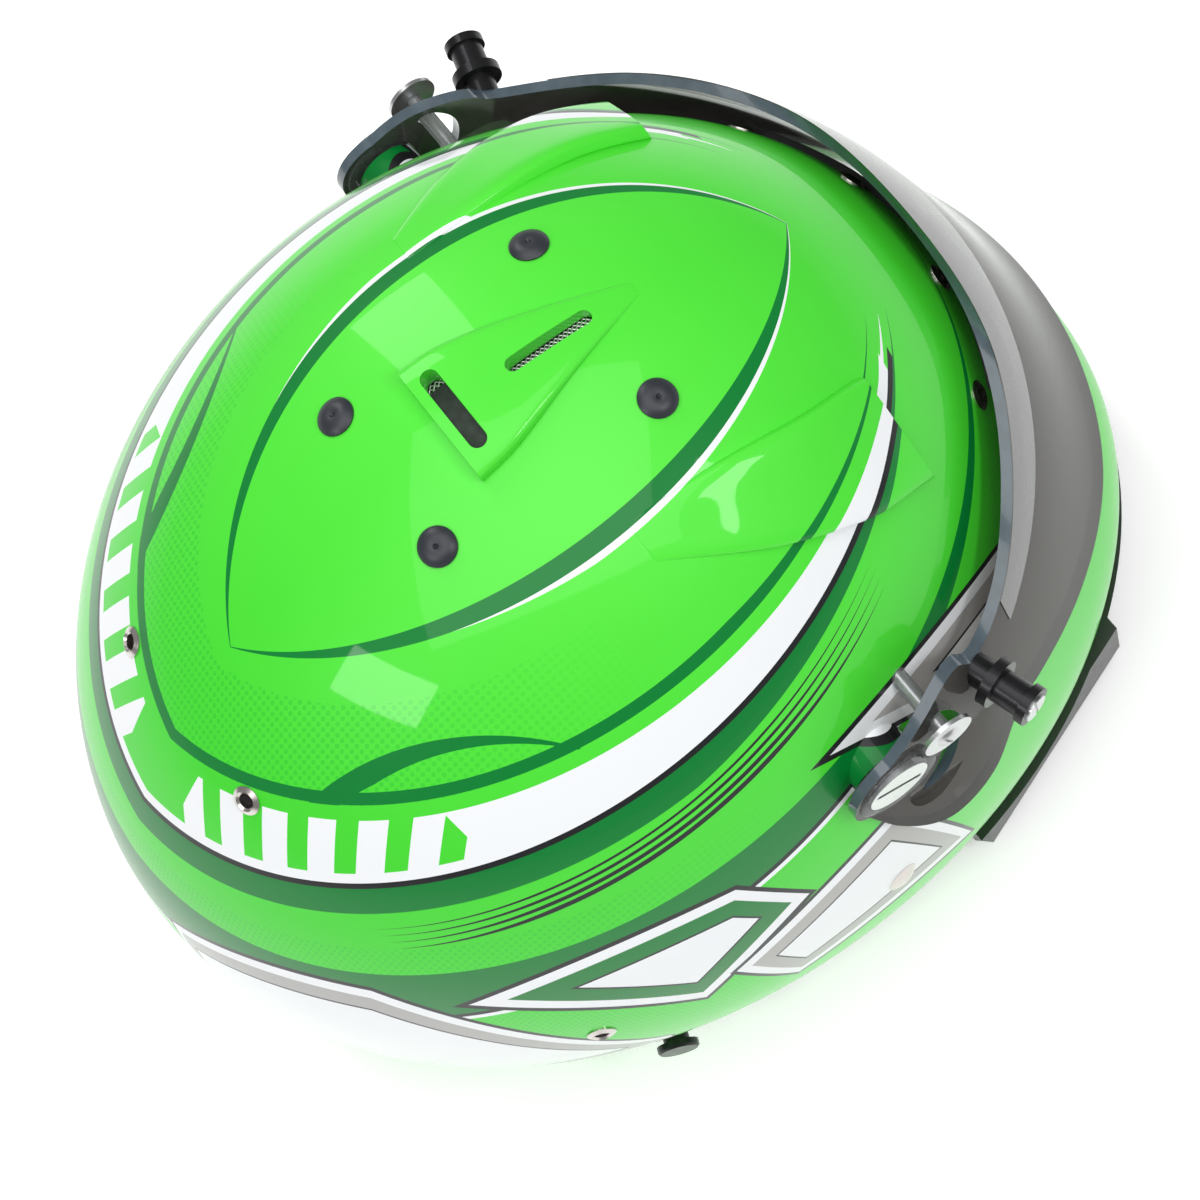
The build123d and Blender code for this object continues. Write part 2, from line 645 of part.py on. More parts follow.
def post_plane(side):
    """Plane at the foot of a tear-off post, on the shield's outer face, with Z along the post."""
    sign = side_sign(side)
    half, front, rear = shield_section(POST_HEIGHT, SHIELD_GAP + SHIELD_WALL)
    reach = (rear - front) / 2
    x = half * sqrt(1 - ((POST_Y - front - reach) / reach) ** 2)
    toe = radians(POST_TOE)
    return Plane((sign * x, POST_Y, POST_HEIGHT), x_dir=(0, 0, 1), z_dir=(sign * cos(toe), -sin(toe), 0))


def tear_off_post(side):
    """Stepped post: foot, wide flange, neck and lipped end with a seat for its cap."""
    foot_top = POST_FOOT
    flange_top = foot_top + POST_FLANGE
    lip_low = POST_REACH - POST_LIP
    profile = make_face(Polyline(
        (0, -POST_FOOT), (POST_FOOT_RADIUS, -POST_FOOT), (POST_FOOT_RADIUS, foot_top), (POST_FLANGE_RADIUS, foot_top),
        (POST_FLANGE_RADIUS, flange_top), (POST_NECK_RADIUS, flange_top), (POST_NECK_RADIUS, lip_low),
        (POST_LIP_RADIUS, lip_low), (POST_LIP_RADIUS, POST_REACH), (POST_CAP_RADIUS, POST_REACH),
        (POST_CAP_RADIUS, POST_REACH - POST_CAP_THICKNESS / 2), (0, POST_REACH - POST_CAP_THICKNESS / 2), close=True))
    body = post_plane(side) * revolve(Plane.XZ * profile, Axis.Z)
    return body - shield_space(SHIELD_GAP + SHIELD_WALL, SHIELD_WALL)


def post_cap(side):
    """Bright screw head in the end of a tear-off post."""
    low = POST_REACH - POST_CAP_THICKNESS / 2
    plane = post_plane(side)
    body = disc(plane, POST_CAP_RADIUS, low, low + POST_CAP_THICKNESS)
    slot = plane * Pos(0, 0, low + POST_CAP_THICKNESS) * Box(3 * POST_CAP_RADIUS, GUIDE_SLOT_CUT, GUIDE_SLOT_CUT)
    return body - slot


def chin_spoiler():
    """Lip round the underside of the chin bar, with straight-edged corners."""
    corner_x, corner_y = SPOILER_CORNER
    tail_x, tail_y = SPOILER_TAIL
    right = [(SPOILER_INNER_X, corner_y), (corner_x, corner_y), (tail_x, tail_y),
             (tail_x - SPOILER_CHAMFER, tail_y + SPOILER_CHAMFER), (SPOILER_INNER_X, tail_y + SPOILER_CHAMFER)]
    left = [(-x, y) for x, y in reversed(right)]
    plan = Pos(0, 0, SPOILER_LOW) * make_face(Polyline(*right, *left, close=True))
    corners = extrude(plan, amount=SPOILER_HIGH - SPOILER_LOW)
    far = 2 * REAR_REACH
    lip = form(SPOILER_WALL) & block((-far, -far, SPOILER_LOW), (far, tail_y + SPOILER_CHAMFER, SPOILER_HIGH))
    return (lip + corners) - form()


def spoiler_screws():
    """Round screw heads along the spoiler's front."""
    height = (SPOILER_LOW + SPOILER_HIGH) / 2
    pieces = []
    for turn in SPOILER_SCREW_TURNS:
        for side in ("left", "right"):
            plane = seat(height, turn, side)
            head = disc(plane, SPOILER_SCREW_RADIUS, SPOILER_WALL / 2, SPOILER_WALL + SPOILER_SCREW_RISE)
            pieces.append(head - form(SPOILER_WALL))
    return Compound(children=pieces)


def restraint_post(side):
    """Anchor for a head-restraint tether: flange, neck, head and threaded shank."""
    neck = RESTRAINT_FLANGE + RESTRAINT_NECK
    head = neck + RESTRAINT_HEAD
    edge = RESTRAINT_HEAD / 4
    profile = make_face(Polyline(
        (0, -SHELL_WALL), (RESTRAINT_FLANGE_RADIUS, -SHELL_WALL), (RESTRAINT_FLANGE_RADIUS, RESTRAINT_FLANGE),
        (RESTRAINT_NECK_RADIUS, RESTRAINT_FLANGE), (RESTRAINT_NECK_RADIUS, neck), (RESTRAINT_HEAD_RADIUS, neck),
        (RESTRAINT_HEAD_RADIUS, head - edge), (RESTRAINT_HEAD_RADIUS - edge, head), (0, head), close=True))
    plane = restraint_plane(side)
    knob = plane * revolve(Plane.XZ * profile, Axis.Z) - form()
    return knob + disc(plane, RESTRAINT_SHANK_RADIUS, -SHELL_WALL - RESTRAINT_NUT, RESTRAINT_FLANGE)


def restraint_nut(side):
    """Round nut behind the shell on a restraint post's shank."""
    low = -SHELL_WALL - RESTRAINT_NUT
    nut = ring(restraint_plane(side), RESTRAINT_NUT_RADIUS, RESTRAINT_SHANK_RADIUS, low, 0)
    return nut & form(-SHELL_WALL)


def liner_space(depth):
    """Inside of the head space at a depth behind the shell's inner face."""
    return form(-SHELL_WALL - CLEARANCE - depth)


def face_cut():
    """Space in front of the face that liners leave open."""
    far = 2 * REAR_REACH
    return block((-far, -far, -far), (far, FACE_CUT_Y, PORT_HEIGHT + PORT_RISE + FACE_CUT_RISE))


def crown_liner():
    """Impact foam under the crown, open below and in front of the face."""
    body = liner_space(0) - liner_space(LINER_WALL)
    body = body - band(-REAR_REACH, LINER_LOW) - face_cut()
    deep = SHELL_WALL + STRAP_THICKNESS + ANCHOR_THICKNESS + 2 * CLEARANCE
    cuts = []
    for side in ("left", "right"):
        cuts.append(disc(pivot_plane(side), BASE_RADIUS + CLEARANCE, -BASE_DEPTH - CLEARANCE, OVERRUN))
        cuts.append(disc(guide_plane(side), GUIDE_SLEEVE_RADIUS + CLEARANCE, -GUIDE_DEPTH - CLEARANCE, OVERRUN))
        cuts.append(disc(seat(RIVET_HEIGHT, RIVET_TURN, side), ANCHOR_RADIUS + CLEARANCE, -deep, OVERRUN))
        cuts.append(strap_path(side, CLEARANCE))
    return body - cuts - crown_mesh(2 * CLEARANCE).solids()


def comfort_liner():
    """Fabric head liner against the crown foam."""
    body = liner_space(LINER_WALL + CLEARANCE) - liner_space(LINER_WALL + COMFORT_WALL)
    return body - band(-REAR_REACH, LINER_LOW) - face_cut()


@lru_cache(maxsize=None)
def head_prism():
    """Upright oval that the pads leave free for the head and neck."""
    oval = Pos(0, HEAD_Y, 0) * Ellipse(HEAD_HALF_WIDTH, HEAD_HALF_LENGTH)
    return extrude(oval, amount=WIDEST_HEIGHT)


def cheek_pad(side):
    """Cheek pad between the shell and the head's oval, rounded in side view."""
    sign = side_sign(side)
    length = PAD_REAR_Y - PAD_FRONT_Y
    top = LINER_LOW - STRAP_THICKNESS - 2 * CLEARANCE
    outline = RectangleRounded(length, top - PAD_LOW, PAD_ROUND)
    centre = (0, (PAD_REAR_Y + PAD_FRONT_Y) / 2, (top + PAD_LOW) / 2)
    plane = Plane(centre, x_dir=(0, 1, 0), z_dir=(sign, 0, 0))
    body = extrude(plane * outline, amount=HALF_WIDTH) & liner_space(CLEARANCE)
    nut = disc(restraint_plane(side), RESTRAINT_NUT_RADIUS + CLEARANCE, -SHELL_WALL - RESTRAINT_NUT - CLEARANCE, 0)
    return body - head_prism() - nut


def chin_foam():
    """Impact foam inside the chin bar, ahead of the cheek pads."""
    rear = PAD_FRONT_Y - CLEARANCE
    far = 2 * REAR_REACH
    body = liner_space(0) - liner_space(CHIN_FOAM_WALL)
    return body & block((-far, -far, CHIN_FOAM_LOW), (far, rear, CHIN_FOAM_TOP))


def neck_roll():
    """Padded roll along the rear rim, between the cheek pads."""
    far = 2 * REAR_REACH
    outer = liner_space(CLEARANCE)
    body = (outer - liner_space(ROLL_WIDTH)) & block(
        (-far, PAD_REAR_Y + CLEARANCE, ROLL_LOW), (far, far, ROLL_HIGH))
    nuts = [disc(restraint_plane(side), RESTRAINT_NUT_RADIUS + CLEARANCE, -SHELL_WALL - RESTRAINT_NUT - CLEARANCE, 0)
            for side in ("left", "right")]
    return body - nuts


def strap_rivet(side):
    """Domed rivet head outside the shell, its shank through wall, strap and anchor plate."""
    inner = -SHELL_WALL - STRAP_THICKNESS - ANCHOR_THICKNESS
    profile = make_face([
        Polyline((0, RIVET_RISE), (0, inner), (RIVET_SHANK_RADIUS, inner), (RIVET_SHANK_RADIUS, 0), (RIVET_RADIUS, 0)),
        dome(RIVET_RADIUS, 0, RIVET_RISE),
    ])
    return seat(RIVET_HEIGHT, RIVET_TURN, side) * revolve(Plane.XZ * profile, Axis.Z)


def strap_anchor(side):
    """Round plate behind the strap that the rivet holds."""
    deep = SHELL_WALL + STRAP_THICKNESS
    return ring(seat(RIVET_HEIGHT, RIVET_TURN, side), ANCHOR_RADIUS, RIVET_SHANK_RADIUS, -deep - ANCHOR_THICKNESS, -deep)


def strap_path(side, grow):
    """Strap down the inside of the shell and inwards over the cheek pad, grown by grow."""
    sign = side_sign(side)
    anchor = seat(RIVET_HEIGHT, RIVET_TURN, side).origin
    half = STRAP_WIDTH / 2 + grow
    top = LINER_LOW - CLEARANCE + grow
    low = LINER_LOW - CLEARANCE - STRAP_THICKNESS - grow
    face = abs(anchor.X) - SHELL_WALL - STRAP_THICKNESS - grow
    tab = Pos(sign * (face + OVERRUN / 2), anchor.Y, (low + RIVET_HEIGHT + STRAP_TAB) / 2) * Box(
        OVERRUN, 2 * half, RIVET_HEIGHT + STRAP_TAB + grow - low)
    run = Pos(sign * (STRAP_DROP_X + face) / 2, anchor.Y, (low + top) / 2) * Box(
        face - STRAP_DROP_X, 2 * half, top - low)
    return tab + run


def strap(side):
    """Chin strap of one side: wall tab, run over the cheek pad and hanging end."""
    sign = side_sign(side)
    plane = seat(RIVET_HEIGHT, RIVET_TURN, side)
    top = LINER_LOW - CLEARANCE
    end = STRAP_ENDS[side]
    drop = Pos(sign * (STRAP_DROP_X - STRAP_THICKNESS / 2), plane.origin.Y, (top + end) / 2) * Box(
        STRAP_THICKNESS, STRAP_WIDTH, top - end)
    path = (strap_path(side, 0) & form(-SHELL_WALL - CLEARANCE / 3)) - disc(plane, RIVET_SHANK_RADIUS, -OVERRUN, OVERRUN)
    return path - disc(plane, ANCHOR_RADIUS, -OVERRUN, -SHELL_WALL - STRAP_THICKNESS) + drop


def ring_place(index):
    """Middle of a D-ring's bar in the loop at the end of the left strap."""
    middle = seat(RIVET_HEIGHT, RIVET_TURN).origin.Y
    x = STRAP_DROP_X - STRAP_THICKNESS / 2 + (index - 0.5) * RING_PITCH
    return Vector(x, middle, STRAP_ENDS["left"] - STRAP_THICKNESS / 2 - RING_WIRE)


def ring_loop():
    """Fold of the left strap round the bars of both D-rings."""
    bore = RING_WIRE + RING_PLAY
    centre = (ring_place(0) + ring_place(1)) / 2
    plane = Plane(centre, x_dir=(1, 0, 0), z_dir=(0, 1, 0))
    skin_face = SlotCenterToCenter(RING_PITCH, 2 * (bore + STRAP_THICKNESS)) - SlotCenterToCenter(RING_PITCH, 2 * bore)
    return extrude(plane * skin_face, amount=STRAP_WIDTH / 2, both=True)


def d_ring(index):
    """D-shaped ring of round wire that hangs from its straight bar."""
    face = Pos(0, -RING_DEPTH / 2) * Rectangle(RING_WIDTH, RING_DEPTH)
    face = fillet(face.vertices().group_by(Axis.Y)[-1], RING_TOP_ROUND)
    face = fillet(face.vertices().group_by(Axis.Y)[0], RING_LOW_ROUND)
    plane = Plane(ring_place(index), x_dir=(0, 1, 0), z_dir=(1, 0, 0))
    path = (plane * face).face().outer_wire()
    start = Plane(path @ 0, z_dir=path % 0)
    return sweep(start * Circle(RING_WIRE), path=path)


def main():
    os.makedirs("parts", exist_ok=True)
    nodes = {
        "shell": shell(),
        "eyeport_gasket": gasket(),
        "edge_trim": edge_trim(),
        "brow_eyelets": eyelet_group(BROW_EYELETS),
        "side_eyelets": eyelet_group(SIDE_EYELETS),
        "rear_eyelets": eyelet_group(REAR_EYELETS),
        "crown_plugs": crown_plugs(),
        "crown_vent_mesh": crown_mesh(),
        "wing_vent_mesh": wing_mesh(),
        "shield": shield(),
        "sun_strip": sun_strip(),
        "chin_spoiler": chin_spoiler(),
        "spoiler_screws": spoiler_screws(),
        "crown_liner": crown_liner(),
        "comfort_liner": comfort_liner(),
        "chin_foam": chin_foam(),
        "neck_roll": neck_roll(),
        "strap_left": strap("left") + ring_loop(),
        "strap_right": strap("right"),
        "d_ring_inner": d_ring(0),
        "d_ring_outer": d_ring(1),
        "cheek_pad_left": cheek_pad("left"),
        "cheek_pad_right": cheek_pad("right"),
    }
    pairs = {
        "pivot_bases": pivot_base,
        "pivot_screws": pivot_screw,
        "guide_sleeves": guide_sleeve,
        "guide_washers": guide_washer,
        "guide_screws": guide_screw,
        "tear_off_posts": tear_off_post,
        "post_caps": post_cap,
        "restraint_posts": restraint_post,
        "restraint_nuts": restraint_nut,
        "strap_rivets": strap_rivet,
        "strap_anchors": strap_anchor,
    }
    for name, make in pairs.items():
        left = make("left")
        nodes[name] = Compound(children=[left, mirror(left, Plane.YZ)])
    for name, shape in nodes.items():
        export_step(shape, f"parts/{name}.step")


main()
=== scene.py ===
"""Looks of a full-face auto racing helmet, dressed round its packed CAD model.

The packed model gives the frame in metres: +Z up, -Y to the front, +X to the wearer's left.
Lengths in this file are in millimetres and become metres when a mesh is made.
"""

import logging
import math
from dataclasses import dataclass, field
from enum import Enum
from typing import Any, Callable, Iterable, Sequence

import bmesh
import bpy
import numpy as np
from mathutils import Matrix, Vector


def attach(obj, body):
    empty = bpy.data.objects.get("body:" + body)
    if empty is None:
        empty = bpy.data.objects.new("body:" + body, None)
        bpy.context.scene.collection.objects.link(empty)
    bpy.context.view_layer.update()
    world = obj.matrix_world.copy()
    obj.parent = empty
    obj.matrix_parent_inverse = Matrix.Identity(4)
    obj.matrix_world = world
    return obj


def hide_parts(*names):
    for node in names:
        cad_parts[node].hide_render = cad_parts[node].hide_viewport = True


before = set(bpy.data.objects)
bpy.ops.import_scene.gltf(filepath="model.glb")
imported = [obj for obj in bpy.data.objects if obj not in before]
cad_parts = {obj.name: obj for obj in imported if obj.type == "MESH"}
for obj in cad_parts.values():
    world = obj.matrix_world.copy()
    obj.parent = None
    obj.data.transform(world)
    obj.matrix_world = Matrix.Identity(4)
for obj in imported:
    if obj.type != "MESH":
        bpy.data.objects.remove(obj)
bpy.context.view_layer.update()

log = logging.getLogger("helmet")
MM = 0.001
SIDES = (-1, 1)
SIDE_NAMES = {-1: "right", 1: "left"}
FULL_TURN = 2 * np.pi
Array = np.ndarray
Colour = tuple[float, float, float]
Solid = tuple[Array, Sequence[Sequence[int]]]


@dataclass(frozen=True)
class Form:
    """The helmet's outer form: level ellipses whose size follows the height above the rim."""

    half_width: float = 125.5
    rear_reach: float = 154.7
    front_reach: float = 140.4
    widest: float = 109.3
    rise: float = 142.8
    lean: float = 7.7
    shift: float = 5.1
    chin_bulge: float = 25.8
    chin_height: float = 39.8
    chin_spread: float = 48.8
    width_shares: tuple[float, float, float] = (-0.058, 0.089, 0.0)
    rear_shares: tuple[float, float, float] = (-0.05, 0.134, -0.082)
    front_shares: tuple[float, float, float] = (-0.134, 0.191, -0.018)
    full_start: float = -0.3
    fullness: float = 0.5

    def section(self, height: Array, grow: float = 0.0) -> tuple[Array, Array, Array]:
        """Half width, front y and rear y of the level ellipse at each height.

        Each reach is its largest value, grown, times the root of 1 - level squared, times a
        cubic of the level, where level runs from -1 at the bottom to 1 at the crown.

        Args:
            height: Heights over the rim.
            grow: How far the form is grown outwards.

        Returns:
            Half width, front y and rear y.
        """
        level = (np.asarray(height, float) - self.widest) / (self.rise + grow)
        low = np.minimum(0, level - self.full_start)
        level = np.clip(level + self.fullness * low**2, -1, 1)
        reach = np.sqrt(1 - level**2)

        def swell(shares: tuple[float, float, float]) -> Array:
            """Cubic by which a reach differs from a plain ellipse."""
            return 1 + shares[0] * level + shares[1] * level**2 + shares[2] * level**3

        half = (self.half_width + grow) * reach * swell(self.width_shares)
        front = (self.front_reach + grow) * reach * swell(self.front_shares)
        front = front + self.chin_bulge * np.exp(-(((height - self.chin_height) / self.chin_spread) ** 2))
        rear = (self.rear_reach + grow) * reach * swell(self.rear_shares)
        middle = self.shift - self.lean * level**2
        return half, middle - front, middle + rear

    def points(self, turn: Array, height: Array, grow: float = 0.0) -> Array:
        """Points of the form: x = half sin(turn), y = middle - reach cos(turn) on the level ellipse.

        Args:
            turn: Angle from the front towards the left, in radians.
            height: Heights over the rim.
            grow: How far the form is grown outwards.

        Returns:
            Points with a last axis of three.
        """
        half, front, rear = self.section(height, grow)
        x = half * np.sin(turn)
        y = (front + rear) / 2 - (rear - front) / 2 * np.cos(turn)
        return np.stack(np.broadcast_arrays(x, y, height), axis=-1)

    def crown(self, x: Array, y: Array, grow: float = 0.0) -> Array:
        """Height of the form over points of the plan, found by halving an interval."""
        x, y = np.broadcast_arrays(np.asarray(x, float), np.asarray(y, float))
        low = np.full(x.shape, self.widest)
        high = np.full(x.shape, self.widest + self.rise + grow)
        for _ in range(32):
            height = (low + high) / 2
            half, front, rear = self.section(height, grow)
            reach = np.maximum((rear - front) / 2, 1e-6)
            inside = (x / np.maximum(half, 1e-6)) ** 2 + ((y - front - reach) / reach) ** 2 < 1
            low = np.where(inside, height, low)
            high = np.where(inside, high, height)
        return low

    def seat(self, height: float, turn: float, side: int) -> Matrix:
        """Matrix of a plane that lies on the form, with z outwards, at a height and turn in degrees."""
        angle = math.radians(turn)
        places = ((angle, height), (angle + 0.01, height), (angle, height + 1))
        spot, right, up = (self.points(np.array(a), np.array(h)) for a, h in places)
        mirror = np.array([side, 1, 1])
        along = Vector((right - spot) * mirror).normalized()
        normal = along.cross(Vector((up - spot) * mirror)).normalized() * side
        return frame_matrix(Vector(spot * mirror), along, normal)


FORM = Form()


def frame_matrix(place: Vector, along: Vector, normal: Vector) -> Matrix:
    """Matrix with its x axis near along and its z axis on normal, in millimetres."""
    across = normal.cross(along).normalized()
    along = across.cross(normal)
    matrix = Matrix((along, across, normal)).transposed().to_4x4()
    matrix.translation = place
    return matrix


def link(thing: bpy.types.Object) -> bpy.types.Object:
    """Put an object into the scene."""
    bpy.context.scene.collection.objects.link(thing)
    return thing


def around(angle: Any, radius: float = 1.0) -> Array:
    """Points of a circle: the radius times the cosine and the sine of each angle."""
    return np.stack([radius * np.cos(angle), radius * np.sin(angle)], axis=-1)


def full_circle(count: int) -> Array:
    """Even angles round a full turn, without the last."""
    return np.linspace(0, FULL_TURN, count, endpoint=False)


def flowing(points: Sequence[tuple[float, float]], steps: int = 10) -> Array:
    """Smooth line through points: cubic Hermite spans whose slopes are half the chord of the neighbours."""
    knots = np.asarray(points, float)
    ends = np.vstack([2 * knots[0] - knots[1], knots, 2 * knots[-1] - knots[-2]])
    slopes = (ends[2:] - ends[:-2]) / 2
    t = np.linspace(0, 1, steps, endpoint=False)[:, None, None]
    a, b, m, n = knots[:-1], knots[1:], slopes[:-1], slopes[1:]
    spans = (2 * t**3 - 3 * t**2 + 1) * a + (t**3 - 2 * t**2 + t) * m
    spans = spans + (3 * t**2 - 2 * t**3) * b + (t**3 - t**2) * n
    return np.vstack([spans.transpose(1, 0, 2).reshape(-1, knots.shape[1]), knots[-1:]])


def make_piece(
    name: str,
    verts: Array,
    faces: Iterable[Sequence[int]],
    finish: bpy.types.Material | None = None,
    crease: float = 40.0,
) -> bpy.types.Object:
    """Object at the origin from points in millimetres and faces, smooth but for creases.

    Args:
        name: Name of the object and its mesh.
        verts: Points in millimetres, one row each.
        faces: Corner numbers of each face.
        finish: Material, or none.
        crease: Angle in degrees over which an edge stays sharp.

    Returns:
        The linked object.
    """
    mesh = bpy.data.meshes.new(name)
    corners = faces.tolist() if isinstance(faces, Array) else faces
    mesh.from_pydata((np.asarray(verts, float) * MM).tolist(), [], corners)
    mesh.validate()
    mesh.update()
    if finish is not None:
        mesh.materials.append(finish)
    piece = link(bpy.data.objects.new(name, mesh))
    soften(piece, crease)
    return piece


def soften(piece: bpy.types.Object, crease: float = 40.0) -> None:
    """Shade a piece smooth and keep edges over the crease angle sharp."""
    piece.data.shade_smooth()
    piece.data.set_sharp_from_angle(angle=math.radians(crease))


def grid_faces(rows: int, columns: int, start: int = 0, wrap: bool = True, flip: bool = False) -> Array:
    """Quads of a grid of points in row order, joined round its columns where wrap is set."""
    across = np.arange(columns if wrap else columns - 1)
    row = np.arange(rows - 1)[:, None]
    a = row * columns + across
    b = row * columns + (across + 1) % columns
    quads = np.stack([a, b, b + columns, a + columns], axis=-1).reshape(-1, 4) + start
    return quads[:, ::-1] if flip else quads


def closed_wall(outer: Array, inner: Array) -> Solid:
    """Closed wall between two open grids of the same columns whose last rows end in poles.

    Args:
        outer: Rows by columns by three, first row at the rim, last row at the pole.
        inner: The same for the inside, with its own number of rows.

    Returns:
        Points and faces, with faces outwards.
    """
    n = outer.shape[1]
    parts = []
    faces: list[Sequence[int]] = []
    start = 0
    for grid, flip in ((outer, False), (inner, True)):
        rows = len(grid) - 1
        parts += [grid[:-1].reshape(-1, 3), grid[-1, :1]]
        faces += grid_faces(rows, n, start, flip=flip).tolist()
        last = start + (rows - 1) * n
        pole = start + rows * n
        across = np.arange(n)
        fan = np.stack([last + across, last + (across + 1) % n, np.full(n, pole)], axis=-1)
        faces += (fan[:, ::-1] if flip else fan).tolist()
        start = pole + 1
    first_inner = (len(outer) - 1) * n + 1
    after = (across + 1) % n
    faces += np.stack([after, across, first_inner + across, first_inner + after], axis=-1).tolist()
    return np.vstack(parts), faces


def closed_sheet(outer: Array, inner: Array) -> Solid:
    """Closed plate between two open grids of the same size, with strips round all four edges."""
    rows, columns = outer.shape[:2]
    size = rows * columns
    top = grid_faces(rows, columns, 0, wrap=False)
    under = grid_faces(rows, columns, size, wrap=False, flip=True)
    index = np.arange(size).reshape(rows, columns)
    edge = np.concatenate([index[0, :-1], index[:-1, -1], index[-1, :0:-1], index[:0:-1, 0]])
    after = np.roll(edge, -1)
    strip = np.stack([after, edge, edge + size, after + size], axis=-1)
    return np.vstack([outer.reshape(-1, 3), inner.reshape(-1, 3)]), np.vstack([top, under, strip])


def prism(outline: Array, axis: int, low: float, high: float) -> Solid:
    """Closed prism: an outline in the two other axes, carried along one axis."""
    n = len(outline)
    others = [i for i in range(3) if i != axis]
    ends = []
    for level in (low, high):
        points = np.zeros((n, 3))
        points[:, others] = outline
        points[:, axis] = level
        ends.append(points)
    i = np.arange(n)
    sides = np.stack([i, (i + 1) % n, (i + 1) % n + n, i + n], axis=-1).tolist()
    return np.vstack(ends), [list(range(n))[::-1], list(range(n, 2 * n)), *sides]


def turned(profile: Sequence[tuple[float, float]], count: int = 48) -> Solid:
    """Solid of revolution about z: each profile point (radius, height) becomes a ring."""
    angle = full_circle(count)
    rings = np.array([[r * np.cos(angle), r * np.sin(angle), np.full(count, h)] for r, h in profile])
    return rings.transpose(0, 2, 1).reshape(-1, 3), grid_faces(len(profile), count).tolist()


def joined(solids: Sequence[Solid]) -> Solid:
    """Points and faces of several closed meshes as one."""
    starts = np.cumsum([0, *(len(verts) for verts, _ in solids)]).tolist()
    faces = [[int(i) + start for i in face] for start, (_, some) in zip(starts, solids) for face in some]
    return np.vstack([verts for verts, _ in solids]), faces


def outward(piece: bpy.types.Object) -> bpy.types.Object:
    """Merge doubled points of a piece and turn all its faces outwards."""
    work = bmesh.new()
    work.from_mesh(piece.data)
    bmesh.ops.remove_doubles(work, verts=work.verts, dist=1e-6)
    bmesh.ops.recalc_face_normals(work, faces=work.faces)
    work.to_mesh(piece.data)
    work.free()
    return piece


def carve(piece: bpy.types.Object, tools: Sequence[Solid], way: str = "DIFFERENCE",
          crease: float = 35.0, cut: bpy.types.Material | None = None) -> bpy.types.Object:
    """Combine a piece with closed meshes that don't touch each other, and keep the result as its mesh.

    Args:
        piece: Closed piece at the origin.
        tools: Points and faces of each tool.
        way: The Boolean modifier's operation.
        crease: Angle over which edges stay sharp.
        cut: Material of the faces that the tools leave, or the piece's own.

    Returns:
        The same piece.
    """
    cutter = outward(make_piece(f"{piece.name}_tool", *joined(tools), cut))
    step = piece.modifiers.new("cut", "BOOLEAN")
    step.operation = way
    step.solver = "EXACT"
    step.object = cutter
    step.material_mode = "INDEX" if cut is None else "TRANSFER"
    bpy.context.view_layer.update()
    made = bpy.data.meshes.new_from_object(piece.evaluated_get(bpy.context.evaluated_depsgraph_get()))
    piece.modifiers.clear()
    old = piece.data
    piece.data = made
    bpy.data.meshes.remove(old)
    bpy.data.objects.remove(cutter)
    made.name = piece.name
    soften(piece, crease)
    return piece


def maths(operation: str, note: str, reflected: bool = False) -> Callable[..., "Wave"]:
    """Method of a wave that adds one maths node.

    Args:
        operation: The node's operation.
        note: What the method gives.
        reflected: Whether the wave is the second value.

    Returns:
        The method.
    """

    def method(self: "Wave", *others: Any) -> "Wave":
        """Add the node on this wave and the other values."""
        values = (*others, self) if reflected else (self, *others)
        made = self.graph.node("ShaderNodeMath", {"operation": operation}, dict(enumerate(values)))
        return Wave(self.graph, made.outputs[0])

    method.__doc__ = note
    return method


class Wave:
    """A value socket of a node tree that adds maths nodes when it is used in an expression."""

    def __init__(self, graph: "Graph", socket: bpy.types.NodeSocket) -> None:
        self.graph = graph
        self.socket = socket

    __add__ = __radd__ = maths("ADD", "Sum.")
    __sub__ = maths("SUBTRACT", "Difference.")
    __rsub__ = maths("SUBTRACT", "Difference from a plain number.", reflected=True)
    __mul__ = __rmul__ = maths("MULTIPLY", "Product.")
    __truediv__ = maths("DIVIDE", "Quotient.")
    __pow__ = maths("POWER", "Power.")
    __abs__ = maths("ABSOLUTE", "Absolute value.")
    __gt__ = maths("GREATER_THAN", "1 where greater, else 0.")
    __lt__ = maths("LESS_THAN", "1 where less, else 0.")
    least = maths("MINIMUM", "Smaller of two values.")
    most = maths("MAXIMUM", "Greater of two values.")
    sine = maths("SINE", "Sine of a value in radians.")
    part = maths("FRACT", "Part of a value after the point.")
    bearing = maths("ARCTAN2", "Angle whose tangent is this value over another.")

    def held(self) -> "Wave":
        """Value held between 0 and 1."""
        return self.least(1.0).most(0.0)


